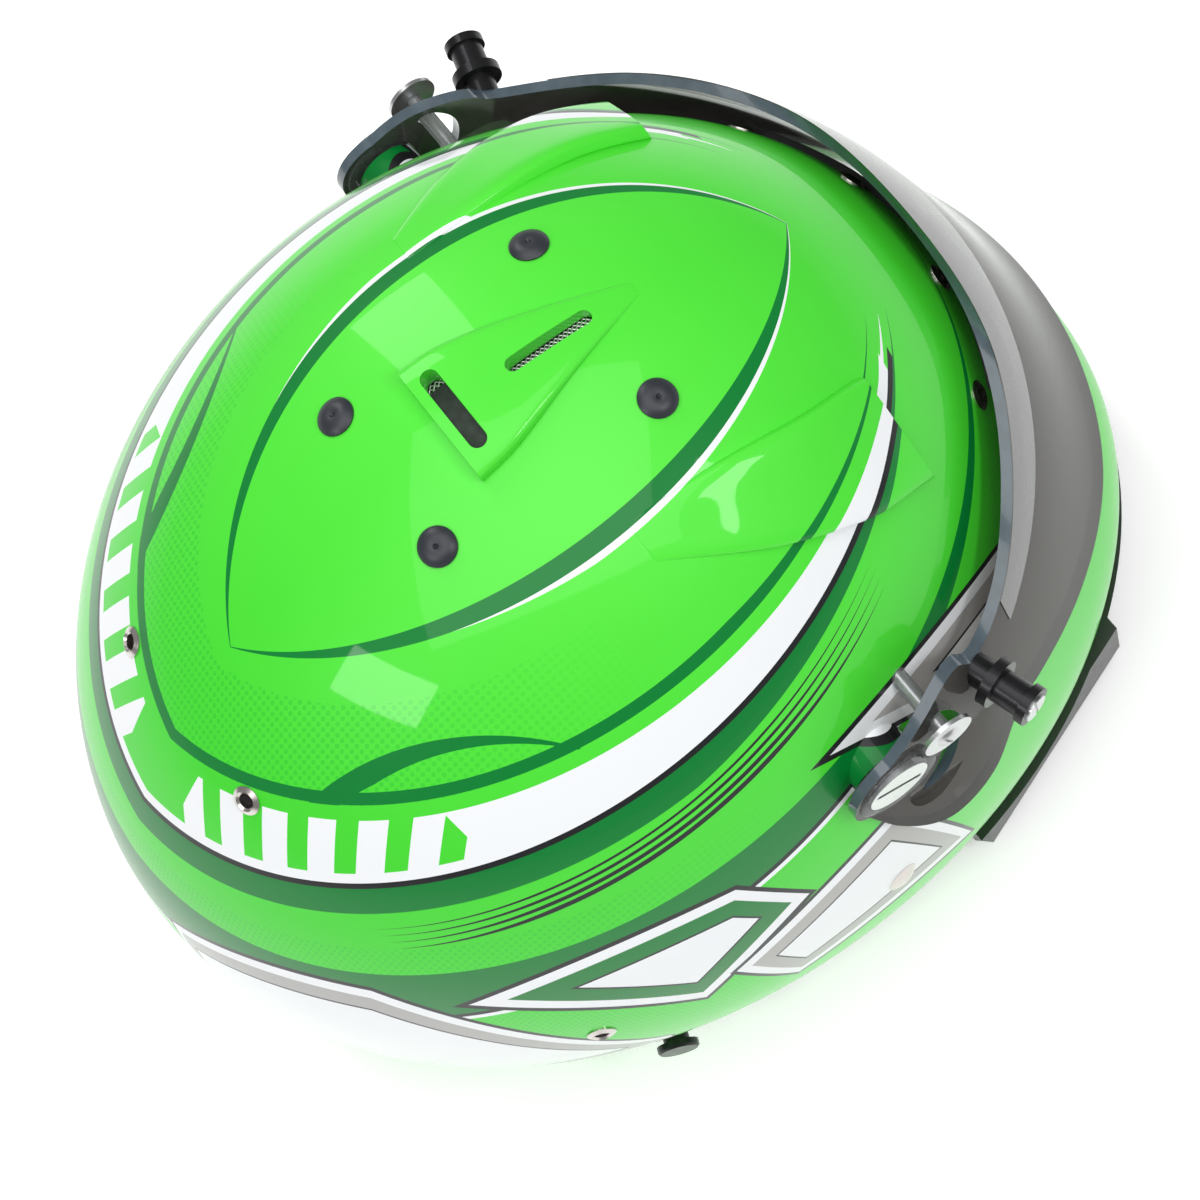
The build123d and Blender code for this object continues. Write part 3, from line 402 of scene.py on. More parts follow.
class Graph:
    """Node tree of one material, with one method that makes any node."""

    def __init__(self, name: str) -> None:
        self.material = bpy.data.materials.new(name)
        self.material.use_nodes = True
        self.tree = self.material.node_tree
        self.tree.nodes.clear()

    def node(
        self, kind: str, settings: dict[str, Any] | None = None, values: dict[Any, Any] | None = None
    ) -> bpy.types.Node:
        """Make a node, set its options, then its sockets.

        Args:
            kind: Type of the node.
            settings: Attributes that are set first.
            values: Socket name or number to a value, a socket or a wave.

        Returns:
            The node.
        """
        made = self.tree.nodes.new(kind)
        for key, value in (settings or {}).items():
            setattr(made, key, value)
        for key, value in (values or {}).items():
            target = made.inputs[key]
            if isinstance(value, Wave):
                value = value.socket
            if isinstance(value, bpy.types.NodeSocket):
                self.tree.links.new(value, target)
            else:
                target.default_value = value
        return made

    def place(self) -> tuple[Wave, Wave, Wave]:
        """Object coordinates of the surface, in millimetres."""
        spot = self.node("ShaderNodeTexCoord").outputs["Object"]
        scaled = self.node("ShaderNodeVectorMath", {"operation": "SCALE"}, {0: spot, "Scale": 1 / MM})
        split = self.node("ShaderNodeSeparateXYZ", values={0: scaled.outputs[0]})
        x, y, z = (Wave(self, out) for out in split.outputs)
        return x, y, z

    def noise(self, scale: float, detail: float = 2.0) -> Wave:
        """Noise over object coordinates, from 0 to 1."""
        spot = self.node("ShaderNodeTexCoord").outputs["Object"]
        made = self.node("ShaderNodeTexNoise", values={"Vector": spot, "Scale": scale, "Detail": detail})
        return Wave(self, made.outputs["Fac"])

    def over(self, under: Any, colour: Any, mask: Any) -> bpy.types.NodeSocket:
        """Colour laid over another where the mask is 1."""
        values = {0: mask, 6: paint(under), 7: paint(colour)}
        made = self.node("ShaderNodeMix", {"data_type": "RGBA"}, values)
        return made.outputs[2]

    def bump(self, height: Wave, depth: float, strength: float = 1.0) -> bpy.types.NodeSocket:
        """Normal that follows a height from 0 to 1, depth in millimetres."""
        values = {"Height": height, "Distance": depth * MM, "Strength": strength}
        return self.node("ShaderNodeBump", values=values).outputs[0]

    def finish(self, values: dict[str, Any]) -> bpy.types.Material:
        """End the tree with a Principled shader that has these values."""
        return self.end(self.node("ShaderNodeBsdfPrincipled", values=values))

    def end(self, shader: bpy.types.Node) -> bpy.types.Material:
        """End the tree with a shader."""
        out = self.node("ShaderNodeOutputMaterial")
        self.tree.links.new(shader.outputs[0], out.inputs[0])
        return self.material


def paint(colour: Any) -> Any:
    """Three-part colour as the four numbers that a socket takes."""
    return (*colour, 1.0) if isinstance(colour, tuple) and len(colour) == 3 else colour


Arc = tuple[float, float, float]
Corners = tuple[tuple[float, float], ...]


def within(u: Any, v: Any, arc: Arc) -> Any:
    """Distance inside a circle of the plan: its radius less the distance from its centre."""
    return arc[2] - ((u - arc[0]) ** 2.0 + (v - arc[1]) ** 2.0) ** 0.5


def facet(u: Any, v: Any, corners: Corners) -> Any:
    """Distance inside a convex plate of the plan: the least of the distances from its edges."""
    middle_u, middle_v = np.mean(corners, axis=0)
    least = None
    for (au, av), (bu, bv) in zip(corners, corners[1:] + corners[:1]):
        nu, nv = np.array([bv - av, au - bu]) / math.hypot(bu - au, bv - av)
        sign = 1.0 if (middle_u - au) * nu + (middle_v - av) * nv > 0 else -1.0
        edge = u * float(sign * nu) + v * float(sign * nv) - float(sign * (au * nu + av * nv))
        least = edge if least is None else least.least(edge)
    return least


def between(value: Any, low: Any, high: Any) -> Any:
    """1 between two limits, else 0."""
    return (value > low) * (value < high)


@dataclass(frozen=True)
class Livery:
    """Clear-coated helmet paint: bright green with arcs, crescents, speed lines and faceted flashes.

    The dome is unrolled about its crown: u is sideways and v rearwards, both in millimetres from
    the crown, with the angle from the crown as their length. Both sides match.
    """

    bright: Colour = (0.055, 0.66, 0.028)
    # Lighter green of the painted highlight patch, which stands for light rather than a colour of the paint.
    painted_highlight_green: Colour = (0.1, 0.8, 0.055)
    deep: Colour = (0.0, 0.2, 0.03)
    middle: Colour = (0.02, 0.52, 0.03)
    white: Colour = (0.86, 0.88, 0.9)
    grey: Colour = (0.42, 0.41, 0.4)
    black: Colour = (0.012, 0.012, 0.014)
    scale: float = 130.0
    reaches: tuple[float, float, float] = (125.5, 147.0, 143.0)
    middles: tuple[float, float] = (8.0, 109.3)
    almond: Arc = (-50.0, -8.0, 98.0)
    outer: Arc = (-18.0, 10.0, 122.0)
    inner: Arc = (-22.0, 0.0, 115.0)
    speed: Arc = (-12.0, 16.0, 137.0)
    swoosh: Arc = (-6.0, 20.0, 160.0)
    swoosh_inner: Arc = (-8.0, 9.0, 149.0)
    fork: Arc = (128.0, 96.0, 82.0)
    rear_flash: Corners = (
        (12.0, 152.0), (96.0, 124.0), (176.0, 70.0), (214.0, 92.0), (160.0, 196.0), (30.0, 214.0))
    temple_flash: Corners = ((112.0, -122.0), (158.0, -100.0), (134.0, -16.0))
    cheek_flash: Corners = ((170.0, -34.0), (226.0, -74.0), (222.0, 30.0), (184.0, 44.0))
    nape_blade: Corners = ((150.0, 20.0), (176.0, 2.0), (190.0, 58.0), (120.0, 112.0))

    def plan(self, x: Any, y: Any, z: Any) -> tuple[Any, Any]:
        """Unrolled plan of the dome: angle from the crown times the scale, along its bearing."""
        px = abs(x) / self.reaches[0]
        py = (y - self.middles[0]) / self.reaches[1]
        pz = (z - self.middles[1]) / self.reaches[2]
        flat = ((px * px + py * py) ** 0.5).most(0.0001)
        reach = flat.bearing(pz) * self.scale / flat
        return px * reach, py * reach

    def layers(self, u: Any, v: Any) -> list[tuple[Colour, Any]]:
        """Inks and masks from the lowest layer up, on unrolled plan coordinates."""
        made: list[tuple[Colour, Any]] = []

        def lay(ink: str, mask: Any) -> None:
            """Add one layer."""
            made.append((getattr(self, ink), mask))

        def taper(low: float, full: float) -> Any:
            """Rises from 0 to 1 between two places along v."""
            return ((v - low) / (full - low)).held()

        dots = (((u + v) * 1.6).sine() * ((u - v) * 1.6).sine()) > 0.2
        shade = within(u, v, self.inner)
        lay("middle", dots * between(shade, 4.0, 30.0) * taper(0.0, 70.0) * 0.5)
        lay("middle", dots * (within(u, v, self.swoosh_inner) < 10.0) * taper(-10.0, 60.0) * 0.4)

        almond = within(u, v, self.almond)
        width = (1.0 - ((v - self.almond[1]) / 86.0) ** 2.0) * 2.6
        lay("white", between(almond, width * (taper(36.0, -4.0) * -0.8 - 0.9), width * -0.9))
        lay("deep", between(almond, width * -1.0, width))
        fork = within(u, v, self.fork)
        lay("deep", between(fork, 0.0, taper(22.0, 70.0) * 6.0) * (within(u, v, self.inner) > 4.0))

        inner, outer = within(u, v, self.inner), within(u, v, self.outer)
        lay("deep", between(inner, 4.2, 4.2 + taper(-96.0, -20.0) * 3.4))
        crescent = outer.least(inner * -1.0)
        bars = ((u * 0.8 - v * 0.6) / 15.0).part() < 0.56
        lay("white", (crescent > 0.0) * (v < 62.0).most(bars * (u > 15.0)))
        lay("white", between(outer, -1.3, 1.6) * (v > -92.0))
        lay("black", between(outer, -3.0, -1.3) * (v > -96.0))
        lay("deep", between(outer, -3.0 - taper(-104.0, 10.0) * 8.0, -3.0))

        speed = within(u, v, self.speed)
        fine = taper(-60.0, -10.0) * taper(104.0, 60.0)
        for step in range(4):
            lay("black", between(speed, step * 2.4, step * 2.4 + fine * (1.5 - step * 0.25)))

        low = within(u, v, self.swoosh)
        high = within(u, v, self.swoosh_inner) * -1.0
        lay("deep", (low.least(high) > 0.0))
        lay("black", between(low, -1.6, 0.0) * (high > -2.0) * (v > -60.0))
        lay("white", between(low, -3.2, -1.6) * (high > -2.0) * (v > -60.0))

        plates = ((self.rear_flash, "grey"), (self.nape_blade, "deep"), (self.cheek_flash, "grey"))
        for corners, core in (*plates, (self.temple_flash, "grey")):
            plate = facet(u, v, corners)
            lay("black", between(plate, 0.0, 1.7))
            lay("white", plate > 1.7)
            lay(core, between(plate, 5.5, 11.5))
            lay("black", between(plate, 11.5, 12.3))
        return made

    def material(self) -> bpy.types.Material:
        """Build the paint: the layers over two greens, under a clear coat."""
        g = Graph("helmet_paint")
        x, y, z = g.place()
        u, v = self.plan(x, y, z)
        # Painted highlight: a round patch on each side of the crown where the bright green turns lighter, as
        # a lamp's sheen would make it.
        sheen = (1.0 - ((u - 40.0) ** 2.0 + (v + 10.0) ** 2.0) ** 0.5 / 110.0).held()
        colour: Any = g.over(self.bright, self.painted_highlight_green, sheen)
        for ink, mask in self.layers(u, v):
            colour = g.over(colour, ink, mask)
        peel = g.bump(g.noise(140.0, 1.0), 0.02, 0.2)
        return g.finish({
            "Base Color": colour, "Roughness": 0.42, "Specular IOR Level": 0.15,
            "Coat Weight": 0.55, "Coat Roughness": 0.04, "Coat IOR": 1.38, "Normal": peel,
        })


@dataclass(frozen=True)
class Plain:
    """Moulded, turned or painted stuff: one colour broken by fine noise in tone and roughness."""

    name: str
    colour: Colour
    roughness: float = 0.5
    metallic: float = 0.0
    coat: float = 0.0
    grain: float = 220.0
    depth: float = 0.03
    spread: float = 0.12

    def material(self) -> bpy.types.Material:
        """Build the material."""
        g = Graph(self.name)
        grain = g.noise(self.grain, 3.0)
        light = tuple(min(1.0, c * (1 + self.spread)) for c in self.colour)
        dark = tuple(c * (1 - self.spread) for c in self.colour)
        return g.finish({
            "Base Color": g.over(dark, light, grain), "Metallic": self.metallic,
            "Roughness": grain * 0.12 + (self.roughness - 0.06), "Coat Weight": self.coat,
            "Normal": g.bump(grain, self.depth, 0.4),
        })


@dataclass(frozen=True)
class Turned:
    """Lathe-turned metal: fine rings about a line through the piece, as roughness and bump."""

    name: str
    colour: Colour = (0.72, 0.72, 0.73)
    roughness: float = 0.22
    pitch: float = 0.35
    centre: tuple[float, float] = (-23.0, 165.0)

    def material(self) -> bpy.types.Material:
        """Build the material with its rings about a centre in y and z."""
        g = Graph(self.name)
        x, y, z = g.place()
        reach = ((y - self.centre[0]) ** 2.0 + (z - self.centre[1]) ** 2.0) ** 0.5
        rings = (reach * (math.tau / self.pitch)).sine() * 0.5 + 0.5
        worn = tuple(c * 0.82 for c in self.colour)
        return g.finish({
            "Base Color": g.over(self.colour, worn, g.noise(90.0)), "Metallic": 1.0,
            "Roughness": rings * 0.1 + self.roughness, "Normal": g.bump(rings, 0.01, 0.3),
        })


@dataclass(frozen=True)
class Clear:
    """Clear polycarbonate with a tint and a hard, glossy face."""

    name: str
    tint: Colour = (0.9, 0.9, 0.9)
    haze: Colour = (0.6, 0.6, 0.6)
    share: float = 0.05
    roughness: float = 0.03

    def material(self) -> bpy.types.Material:
        """Build the material: tinted see-through body under a fresnel gloss."""
        g = Graph(self.name)
        wear = g.noise(35.0, 4.0)
        clear = g.node("ShaderNodeBsdfTransparent", values={"Color": (*self.tint, 1.0)})
        gloss = g.node("ShaderNodeBsdfPrincipled", values={
            "Base Color": (*self.haze, 1.0), "Roughness": wear * 0.04 + self.roughness,
            "Specular IOR Level": 0.9})
        edge = Wave(g, g.node("ShaderNodeFresnel", values={"IOR": 1.3}).outputs[0])
        share = (edge * 0.8 + self.share + wear * 0.02).held()
        mixed = {0: share, 1: clear.outputs[0], 2: gloss.outputs[0]}
        return g.end(g.node("ShaderNodeMixShader", values=mixed))


@dataclass(frozen=True)
class Knit:
    """Brushed knit cloth: crossed fine ribs with a soft sheen."""

    name: str
    colour: Colour = (0.03, 0.03, 0.034)
    pitch: float = 1.1
    waves: float = 6.283
    sheen: float = 0.5

    def material(self) -> bpy.types.Material:
        """Build the material: sine ribs on three axes, broken by noise."""
        g = Graph(self.name)
        x, y, z = g.place()
        k = self.waves / self.pitch
        ribs = ((x + z) * k).sine() * ((y - z) * k).sine() * 0.5 + 0.5
        fuzz = g.noise(420.0, 3.0)
        weave = ribs * 0.7 + fuzz * 0.3
        light = tuple(c * 2.2 + 0.01 for c in self.colour)
        return g.finish({
            "Base Color": g.over(self.colour, light, weave), "Roughness": weave * 0.1 + 0.82,
            "Sheen Weight": self.sheen, "Normal": g.bump(weave, 0.25, 0.7),
        })


@dataclass(frozen=True)
class Webbing:
    """Woven strap: chevron ribs along its length."""

    name: str
    colour: Colour = (0.02, 0.02, 0.022)
    middle: float = 11.6

    def material(self) -> bpy.types.Material:
        """Build the material: ribs that slant both ways from the middle of the strap."""
        g = Graph(self.name)
        x, y, z = g.place()
        slant = abs((y + self.middle) * 2.0) + z + x * 0.7
        ribs = (slant * 3.3).sine() * 0.5 + 0.5
        light = tuple(c * 2.5 + 0.012 for c in self.colour)
        return g.finish({
            "Base Color": g.over(self.colour, light, ribs), "Roughness": 0.78,
            "Sheen Weight": 0.3, "Normal": g.bump(ribs, 0.3, 0.8),
        })


@dataclass(frozen=True)
class WireCloth:
    """Woven wire over a dark space: diamonds of bright wire."""

    name: str
    pitch: float = 1.5
    waves: float = 3.1416
    gap: float = 0.62
    # Painted shade: near-black colour of the gaps, standing for the shadowed vent seen through the mesh.
    dark: Colour = (0.006, 0.006, 0.006)
    bright: Colour = (0.5, 0.5, 0.5)

    def material(self) -> bpy.types.Material:
        """Build the material: two crossed sets of wires on the plan."""
        g = Graph(self.name)
        x, y, z = g.place()
        k = self.waves / self.pitch
        one = abs(((x + y + z * 0.5) * k).sine())
        two = abs(((x - y - z * 0.5) * k).sine())
        wire = one.most(two) > self.gap
        return g.finish({
            # Gaps take the painted shade colour and wires the bright metal.
            "Base Color": g.over(self.dark, self.bright, wire), "Metallic": wire,
            "Roughness": 0.9 - wire * 0.6, "Normal": g.bump(one.most(two), 0.3, 0.8),
        })


@dataclass(frozen=True)
class Beads:
    """Moulded bead foam: a field of packed cells."""

    name: str
    colour: Colour = (0.035, 0.035, 0.038)

    def material(self) -> bpy.types.Material:
        """Build the material on Voronoi cells of about three millimetres."""
        g = Graph(self.name)
        spot = g.node("ShaderNodeTexCoord").outputs["Object"]
        cells = g.node("ShaderNodeTexVoronoi", values={"Vector": spot, "Scale": 320.0})
        cell = Wave(g, cells.outputs["Distance"])
        light = tuple(c * 2 for c in self.colour)
        return g.finish({
            "Base Color": g.over(light, self.colour, cell.held()), "Roughness": 0.75,
            "Normal": g.bump(1.0 - cell, 0.3, 0.5),
        })


class Stuff(Enum):
    """The finishes of the helmet's pieces."""

    PAINT = Livery()
    RUBBER = Plain("black_rubber", (0.018, 0.018, 0.02), 0.55, depth=0.05)
    PLUG = Plain("plug_rubber", (0.022, 0.025, 0.034), 0.42, depth=0.04)
    BLACK = Plain("black_moulding", (0.014, 0.014, 0.015), 0.33, grain=400.0)
    STEEL = Plain("plain_steel", (0.56, 0.56, 0.57), 0.3, metallic=1.0, grain=300.0)
    EYELET = Plain("rolled_nickel", (0.62, 0.58, 0.55), 0.24, metallic=1.0, grain=260.0)
    ANODISED = Plain("anodised_black", (0.02, 0.02, 0.022), 0.3, metallic=0.6, grain=300.0)
    BRIGHT = Turned("turned_aluminium")
    WASHER = Turned("turned_washer", (0.66, 0.66, 0.67), 0.3, 0.5, (-40.0, 177.3))
    SHIELD = Clear("shield_smoke", (0.62, 0.6, 0.58), (0.2, 0.19, 0.18), 0.22)
    ARM = Clear("shield_boss_clear", (0.9, 0.91, 0.91), (0.5, 0.51, 0.52), 0.08)
    EDGE = Plain("shield_edge", (0.075, 0.1, 0.125), 0.16, coat=0.5, spread=0.3)
    TUBE = Clear("clear_spacer", (0.93, 0.94, 0.94), (0.6, 0.62, 0.62), 0.12)
    FILM = Plain("sun_film", (0.05, 0.049, 0.05), 0.28, coat=0.6, grain=120.0)
    KNIT = Knit("lining_knit")
    STRAP = Webbing("strap_web")
    WIRES = WireCloth("vent_wires")
    FOAM = Beads("impact_foam")

    def material(self) -> bpy.types.Material:
        """Material of this finish, made once."""
        made = _made.get(self)
        if made is None:
            made = _made[self] = self.value.material()
        return made


_made: dict[Stuff, bpy.types.Material] = {}


def settle(piece: bpy.types.Object, body: str, slot: str, *nodes: str) -> bpy.types.Object:
    """Let a piece ride on a body, take a material slot's name and stand for CAD nodes."""
    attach(piece, body)
    if nodes:
        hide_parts(*nodes)
    log.info("%s: %d faces on %s", piece.name, len(piece.data.polygons), body)
    return piece


def dress(node: str, stuff: Stuff) -> None:
    """Give a carried-over CAD node its finish."""
    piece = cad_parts[node]
    if not piece.material_slots:
        piece.data.materials.append(stuff.material())
    for held in piece.material_slots:
        held.material = stuff.material()
    log.info("%s: CAD node in %s", node, stuff.name.lower())


@dataclass
class Shell:
    """Painted shell: form, crown scoop, brow wings, eyeport and vent cuts."""

    wall: float = 3.0
    rim: float = 1.6
    columns: int = 400
    rows: int = 168
    inner_rows: int = 36
    scoop: tuple[tuple[float, float, float, float], ...] = (
        (-46.0, 0.0, 5.0, 0.2), (-22.0, 0.0, 20.0, 1.8), (0.0, 0.0, 33.0, 3.6), (13.0, 0.0, 36.0, 4.2))
    wings: tuple[tuple[float, float, float, float], ...] = (
        (-78.0, 57.0, 33.0, 4.2), (-58.0, 60.0, 32.0, 4.0), (-34.0, 58.0, 26.0, 2.2), (-8.0, 52.0, 12.0, 0.2))
    port_height: float = 135.0
    port_half: float = 104.0
    port_rise: float = 25.0
    port_drop: float = 32.0
    port_top: Corners = ((0.97, 0.2), (0.865, 0.38), (0.75, 0.56), (0.577, 0.81), (0.29, 0.965), (0.0, 1.0))
    port_low: Corners = ((0.97, 0.2), (0.885, 0.4), (0.72, 0.68), (0.577, 0.84), (0.29, 0.965), (0.0, 1.0))
    long_slot: tuple[float, float, float] = (-21.0, 25.0, 4.2)
    cross_slot: tuple[float, float, float] = (7.6, 25.5, 5.0)
    slit: tuple[float, float, float] = (4.8, 1.8, 2.4)
    pod_depth: float = 2.4
    pod_power: float = 4.5
    port_room: float = 0.6
    eyelet_bore: float = 2.8
    eyelets: Corners = ((171.5, 9.8), (171.5, 27.7), (120.3, 117.4), (206.8, 162.6))

    def blister(self, stations: Sequence[tuple[float, ...]], side: int = 1, count: int = 40) -> Solid:
        """Raised blister: rounded bars that lie along the form, carried smoothly through its stations.

        Args:
            stations: Rows of y, middle x, width and rise.
            side: Side of the helmet.
            count: Points round a bar.

        Returns:
            Points and faces, flat at both ends.
        """
        y, x, width, rise = flowing(stations, 9).T[:, :, None]
        slope = (FORM.crown(x + 2, y) - FORM.crown(x - 2, y)) / 4
        lean = np.sqrt(1 + slope**2)
        turn = full_circle(count)[None, :]
        power = self.pod_power
        shape = (np.abs(np.cos(turn)) ** power + np.abs(np.sin(turn)) ** power) ** (-1 / power)
        along = width / 2 * shape * np.cos(turn)
        tall = rise + self.pod_depth
        up = (rise - self.pod_depth) / 2 + tall / 2 * shape * np.sin(turn)
        px = x + (along - up * slope) / lean
        pz = FORM.crown(x, y) + (along * slope + up) / lean
        grid = np.stack([side * px, y + 0 * px, pz], axis=-1)
        ends = [list(range(count)), list(range((len(grid) - 1) * count, len(grid) * count))]
        return grid.reshape(-1, 3), [*grid_faces(len(grid), count).tolist(), *ends]

    def surface(self, rows: int, grow: float) -> Array:
        """Grid of one face of the wall: turns round by heights up to the crown."""
        turn = full_circle(self.columns)[None, :]
        start = math.asin((self.rim - FORM.widest) / (FORM.rise + grow))
        climb = np.linspace(start, np.pi / 2, rows)[:, None]
        height = FORM.widest + (FORM.rise + grow) * np.sin(climb) + 0 * turn
        return FORM.points(turn, height, grow)

    def port_outline(self, grow: float = 0.0) -> Array:
        """Closed outline of the eyeport in x and z, through the table's points moved outwards."""
        quarters = []
        for shares, reach in ((self.port_top, self.port_rise), (self.port_low, -self.port_drop)):
            knots = np.array([(1.0, 0.0), *shares]) * (self.port_half, reach)
            knots = knots * (1 + grow / self.port_half, 1 + grow / abs(reach))
            line = flowing([(knots[1][0], -knots[1][1]), *knots, (-knots[-2][0], knots[-2][1])])[10:-10]
            quarters.append(line)
        top, low = quarters
        ring = np.vstack([top, (top * (-1, 1))[::-1][1:], (low * (-1, 1))[1:], low[::-1][1:-1]])
        return ring + (0, self.port_height)

    def slot_tool(self, middle: float, length: float, width: float, along: bool) -> Solid:
        """Upright bar with round ends through the crown."""
        half = (length - width) / 2
        cap = around(np.linspace(-np.pi / 2, np.pi / 2, 13), width / 2) + (half, 0)
        outline = np.vstack([cap, -cap])
        outline = outline[:, ::-1] if along else outline
        return prism(outline + (0, middle), 2, 200.0, 300.0)

    def slit_tool(self, side: int) -> Solid:
        """Flat bar into a wing's front face, along the wing and a little over the form."""
        margin, lift, tall = self.slit
        y, x, width, _ = self.wings[0]
        slope = float(FORM.crown(x + 3, y) - FORM.crown(x - 3, y)) / 6
        along = np.array([1.0, slope]) / math.hypot(1.0, slope)
        up = np.array([-along[1], along[0]])
        half = (width - margin) / 2
        corners = np.array([(-half, -tall / 2), (half, -tall / 2), (half, tall / 2), (-half, tall / 2)])
        base = np.array([x, float(FORM.crown(x, y))]) + lift * up
        outline = base + corners[:, :1] * along + corners[:, 1:] * up
        return prism(outline * (side, 1), 1, y - 12.0, y + 6.0)

    def hole_tools(self) -> list[Solid]:
        """Round tools through the wall for the eyelets, placed by height and turn."""
        reach, radius = 6.0, self.eyelet_bore
        tools = []
        for height, turn in self.eyelets:
            for side in SIDES:
                verts, faces = turned([(0.0, -reach), (radius, -reach), (radius, reach), (0.0, reach)], 24)
                matrix = np.array(FORM.seat(height, turn, side))
                tools.append((verts @ matrix[:3, :3].T + matrix[:3, 3], faces))
        return tools

    def build(self) -> None:
        """Make the shell and cut its openings."""
        outer = self.surface(self.rows, 0.0)
        inner = self.surface(self.inner_rows, -self.wall)
        verts, faces = closed_wall(outer, inner)
        piece = make_piece("painted_shell", verts, faces, Stuff.PAINT.material())
        carve(piece, [self.blister(self.scoop), *(self.blister(self.wings, side) for side in SIDES)], "UNION")
        tools = [prism(self.port_outline(self.port_room), 1, -200.0, 0.0)]
        tools += [self.slot_tool(*self.long_slot, along=True), self.slot_tool(*self.cross_slot, along=False)]
        tools += [self.slit_tool(side) for side in SIDES]
        tools += self.hole_tools()
        carve(piece, tools, crease=32.0)
        settle(piece, "helmet", "shell_paint", "shell")


@dataclass
class Shield:
    """Clear shield: one bent surface with upright arms, cut to its side view, with bosses and arc slots."""

    gap: float = 5.5
    wall: float = 3.0
    spread: float = 6.5
    spread_rise: float = 68.0
    arm_face: float = 115.4
    toe: float = 5.0
    flare: float = 14.0
    flare_drop: float = 10.0
    pivot: tuple[float, float] = (-23.0, 165.0)
    lobe: float = 14.0
    lobe_turn: float = 40.0
    top: Corners = (
        (-8.0, 17.0), (-15.0, 19.0), (-24.0, 19.5), (-30.0, 17.0), (-34.0, 11.0), (-41.0, 8.8),
        (-50.0, 8.6), (-58.0, 10.0), (-69.0, 13.0), (-84.0, 16.0), (-92.0, 18.5), (-95.3, 23.0),
        (-96.5, 28.0), (-98.0, 33.0))
    low: Corners = (
        (5.0, -24.0), (-3.0, -36.0), (-12.0, -41.5), (-26.0, -41.0), (-40.0, -33.5), (-52.0, -38.5),
        (-76.0, -52.3), (-98.0, -63.6), (-112.0, -68.3), (-134.0, -71.0))
    slot_radius: float = 21.0
    slot_width: float = 5.6
    track_width: float = 15.4
    track_face: float = 119.56
    track_past: float = 150.0
    slot_from: float = 36.0
    slot_to: float = -66.0
    bend: float = 3.0
    boss_radius: float = 12.4
    boss_rise: float = 1.6
    boss_bore: float = 6.05
    head_bore: float = 9.25
    head_depth: float = 2.2
    round_off: float = 0.6
    window_hole: float = 9.8
    past: float = 140.0

    def surface(self, out: float, columns: int = 320, rows: int = 84) -> Array:
        """Grid of one face: the form's ellipse with spread sides that run softly into the arms' planes."""
        turn = np.linspace(-1.62, 1.62, columns)[None, :]
        height = np.linspace(87.0, 203.0, rows)[:, None] + 0 * turn
        half, front, rear = FORM.section(height, self.gap + out)
        half = half + self.spread * (np.maximum(0, height - FORM.widest) / self.spread_rise) ** 2
        x = half * np.sin(turn)
        y = (front + rear) / 2 - (rear - front) / 2 * np.cos(turn)
        plane = self.arm_face + out + (y - self.pivot[0]) * math.tan(math.radians(self.toe))
        below = np.maximum(0, self.pivot[1] - self.flare_drop - height)
        plane = plane + math.tan(math.radians(self.flare)) * below
        side = np.abs(x)
        mix = np.clip(0.5 + 0.5 * (plane - side) / self.bend, 0, 1)
        side = plane + (side - plane) * mix - self.bend * mix * (1 - mix)
        return np.stack([np.sign(x) * side, y, height], axis=-1)

    def outline(self) -> Array:
        """Closed side view in y and z: lobe arc, upper edge, front, lower edge."""
        lobe = around(np.radians(np.linspace(-self.lobe_turn, 90, 24)), self.lobe)
        top = flowing([tuple(lobe[-1]), *self.top])
        low = flowing([tuple(lobe[0]), *self.low])[::-1]
        front = np.array([(-190.0, self.top[-1][1]), (-190.0, self.low[-1][1])])
        return np.vstack([lobe[:-1], top, front, low[:-1]]) + self.pivot

    def slot_tool(self, width: float, low: float, high: float) -> Solid:
        """Arc bar about the pivot, of a width, between two places along x."""
        start, stop = math.radians(180 - self.slot_from), math.radians(180 - self.slot_to)
        half = width / 2
        sweep = np.linspace(start, stop, 36)
        cap = np.linspace(0, np.pi, 9)[1:-1]
        outer = around(sweep, self.slot_radius + half)
        inner = around(sweep, self.slot_radius - half)[::-1]
        end = around(stop, self.slot_radius) + around(stop + cap, half)
        begin = around(start, self.slot_radius) + around(start + np.pi + cap, half)
        return prism(np.vstack([outer, end, inner, begin]) + self.pivot, 0, low, high)

    def boss(self, side: int) -> Solid:
        """Ring round the pivot with rounded outer edge and a counterbore for the screw's head."""
        top = self.wall + self.boss_rise
        bore, head, edge = self.boss_bore, self.head_bore, self.boss_radius
        third, half = self.round_off / 3, self.round_off / 2
        floor = top - self.head_depth
        profile = [
            (bore, 0.0), (edge, 0.0), (edge, top - self.round_off), (edge - third, top - third),
            (edge - self.round_off, top), (head + half, top), (head, top - half), (head, floor),
            (bore, floor), (bore, 0.0)]
        verts, faces = turned(profile, 72)
        verts = verts[:, [2, 0, 1]]
        verts = verts * (side, 1, 1) + (side * self.arm_face, *self.pivot)
        return verts, faces

    def build(self) -> None:
        """Make window, bosses and the film along the upper edge."""
        clear = Stuff.SHIELD.material()
        window = make_piece("shield_window", *closed_sheet(self.surface(self.wall), self.surface(0.0)), clear)
        outward(window)
        edge = Stuff.EDGE.material()
        through = (-self.past, self.past)
        carve(window, [prism(self.outline(), 0, *through)], "INTERSECT", cut=edge)
        hole = prism(around(full_circle(48), self.window_hole) + self.pivot, 0, *through)
        carve(window, [self.slot_tool(self.slot_width, *through), hole], cut=edge)
        carve(window, [self.slot_tool(self.track_width, self.track_face, self.track_past),
                       self.slot_tool(self.track_width, -self.track_past, -self.track_face)])
        settle(window, "shield", "clear_shield", "shield")
        for side in SIDES:
            name = f"shield_boss_{SIDE_NAMES[side]}"
            boss = outward(make_piece(name, *self.boss(side), Stuff.ARM.material(), 30.0))
            soften(boss, 30.0)
            settle(boss, "shield", "clear_shield")
        dress("sun_strip", Stuff.FILM)


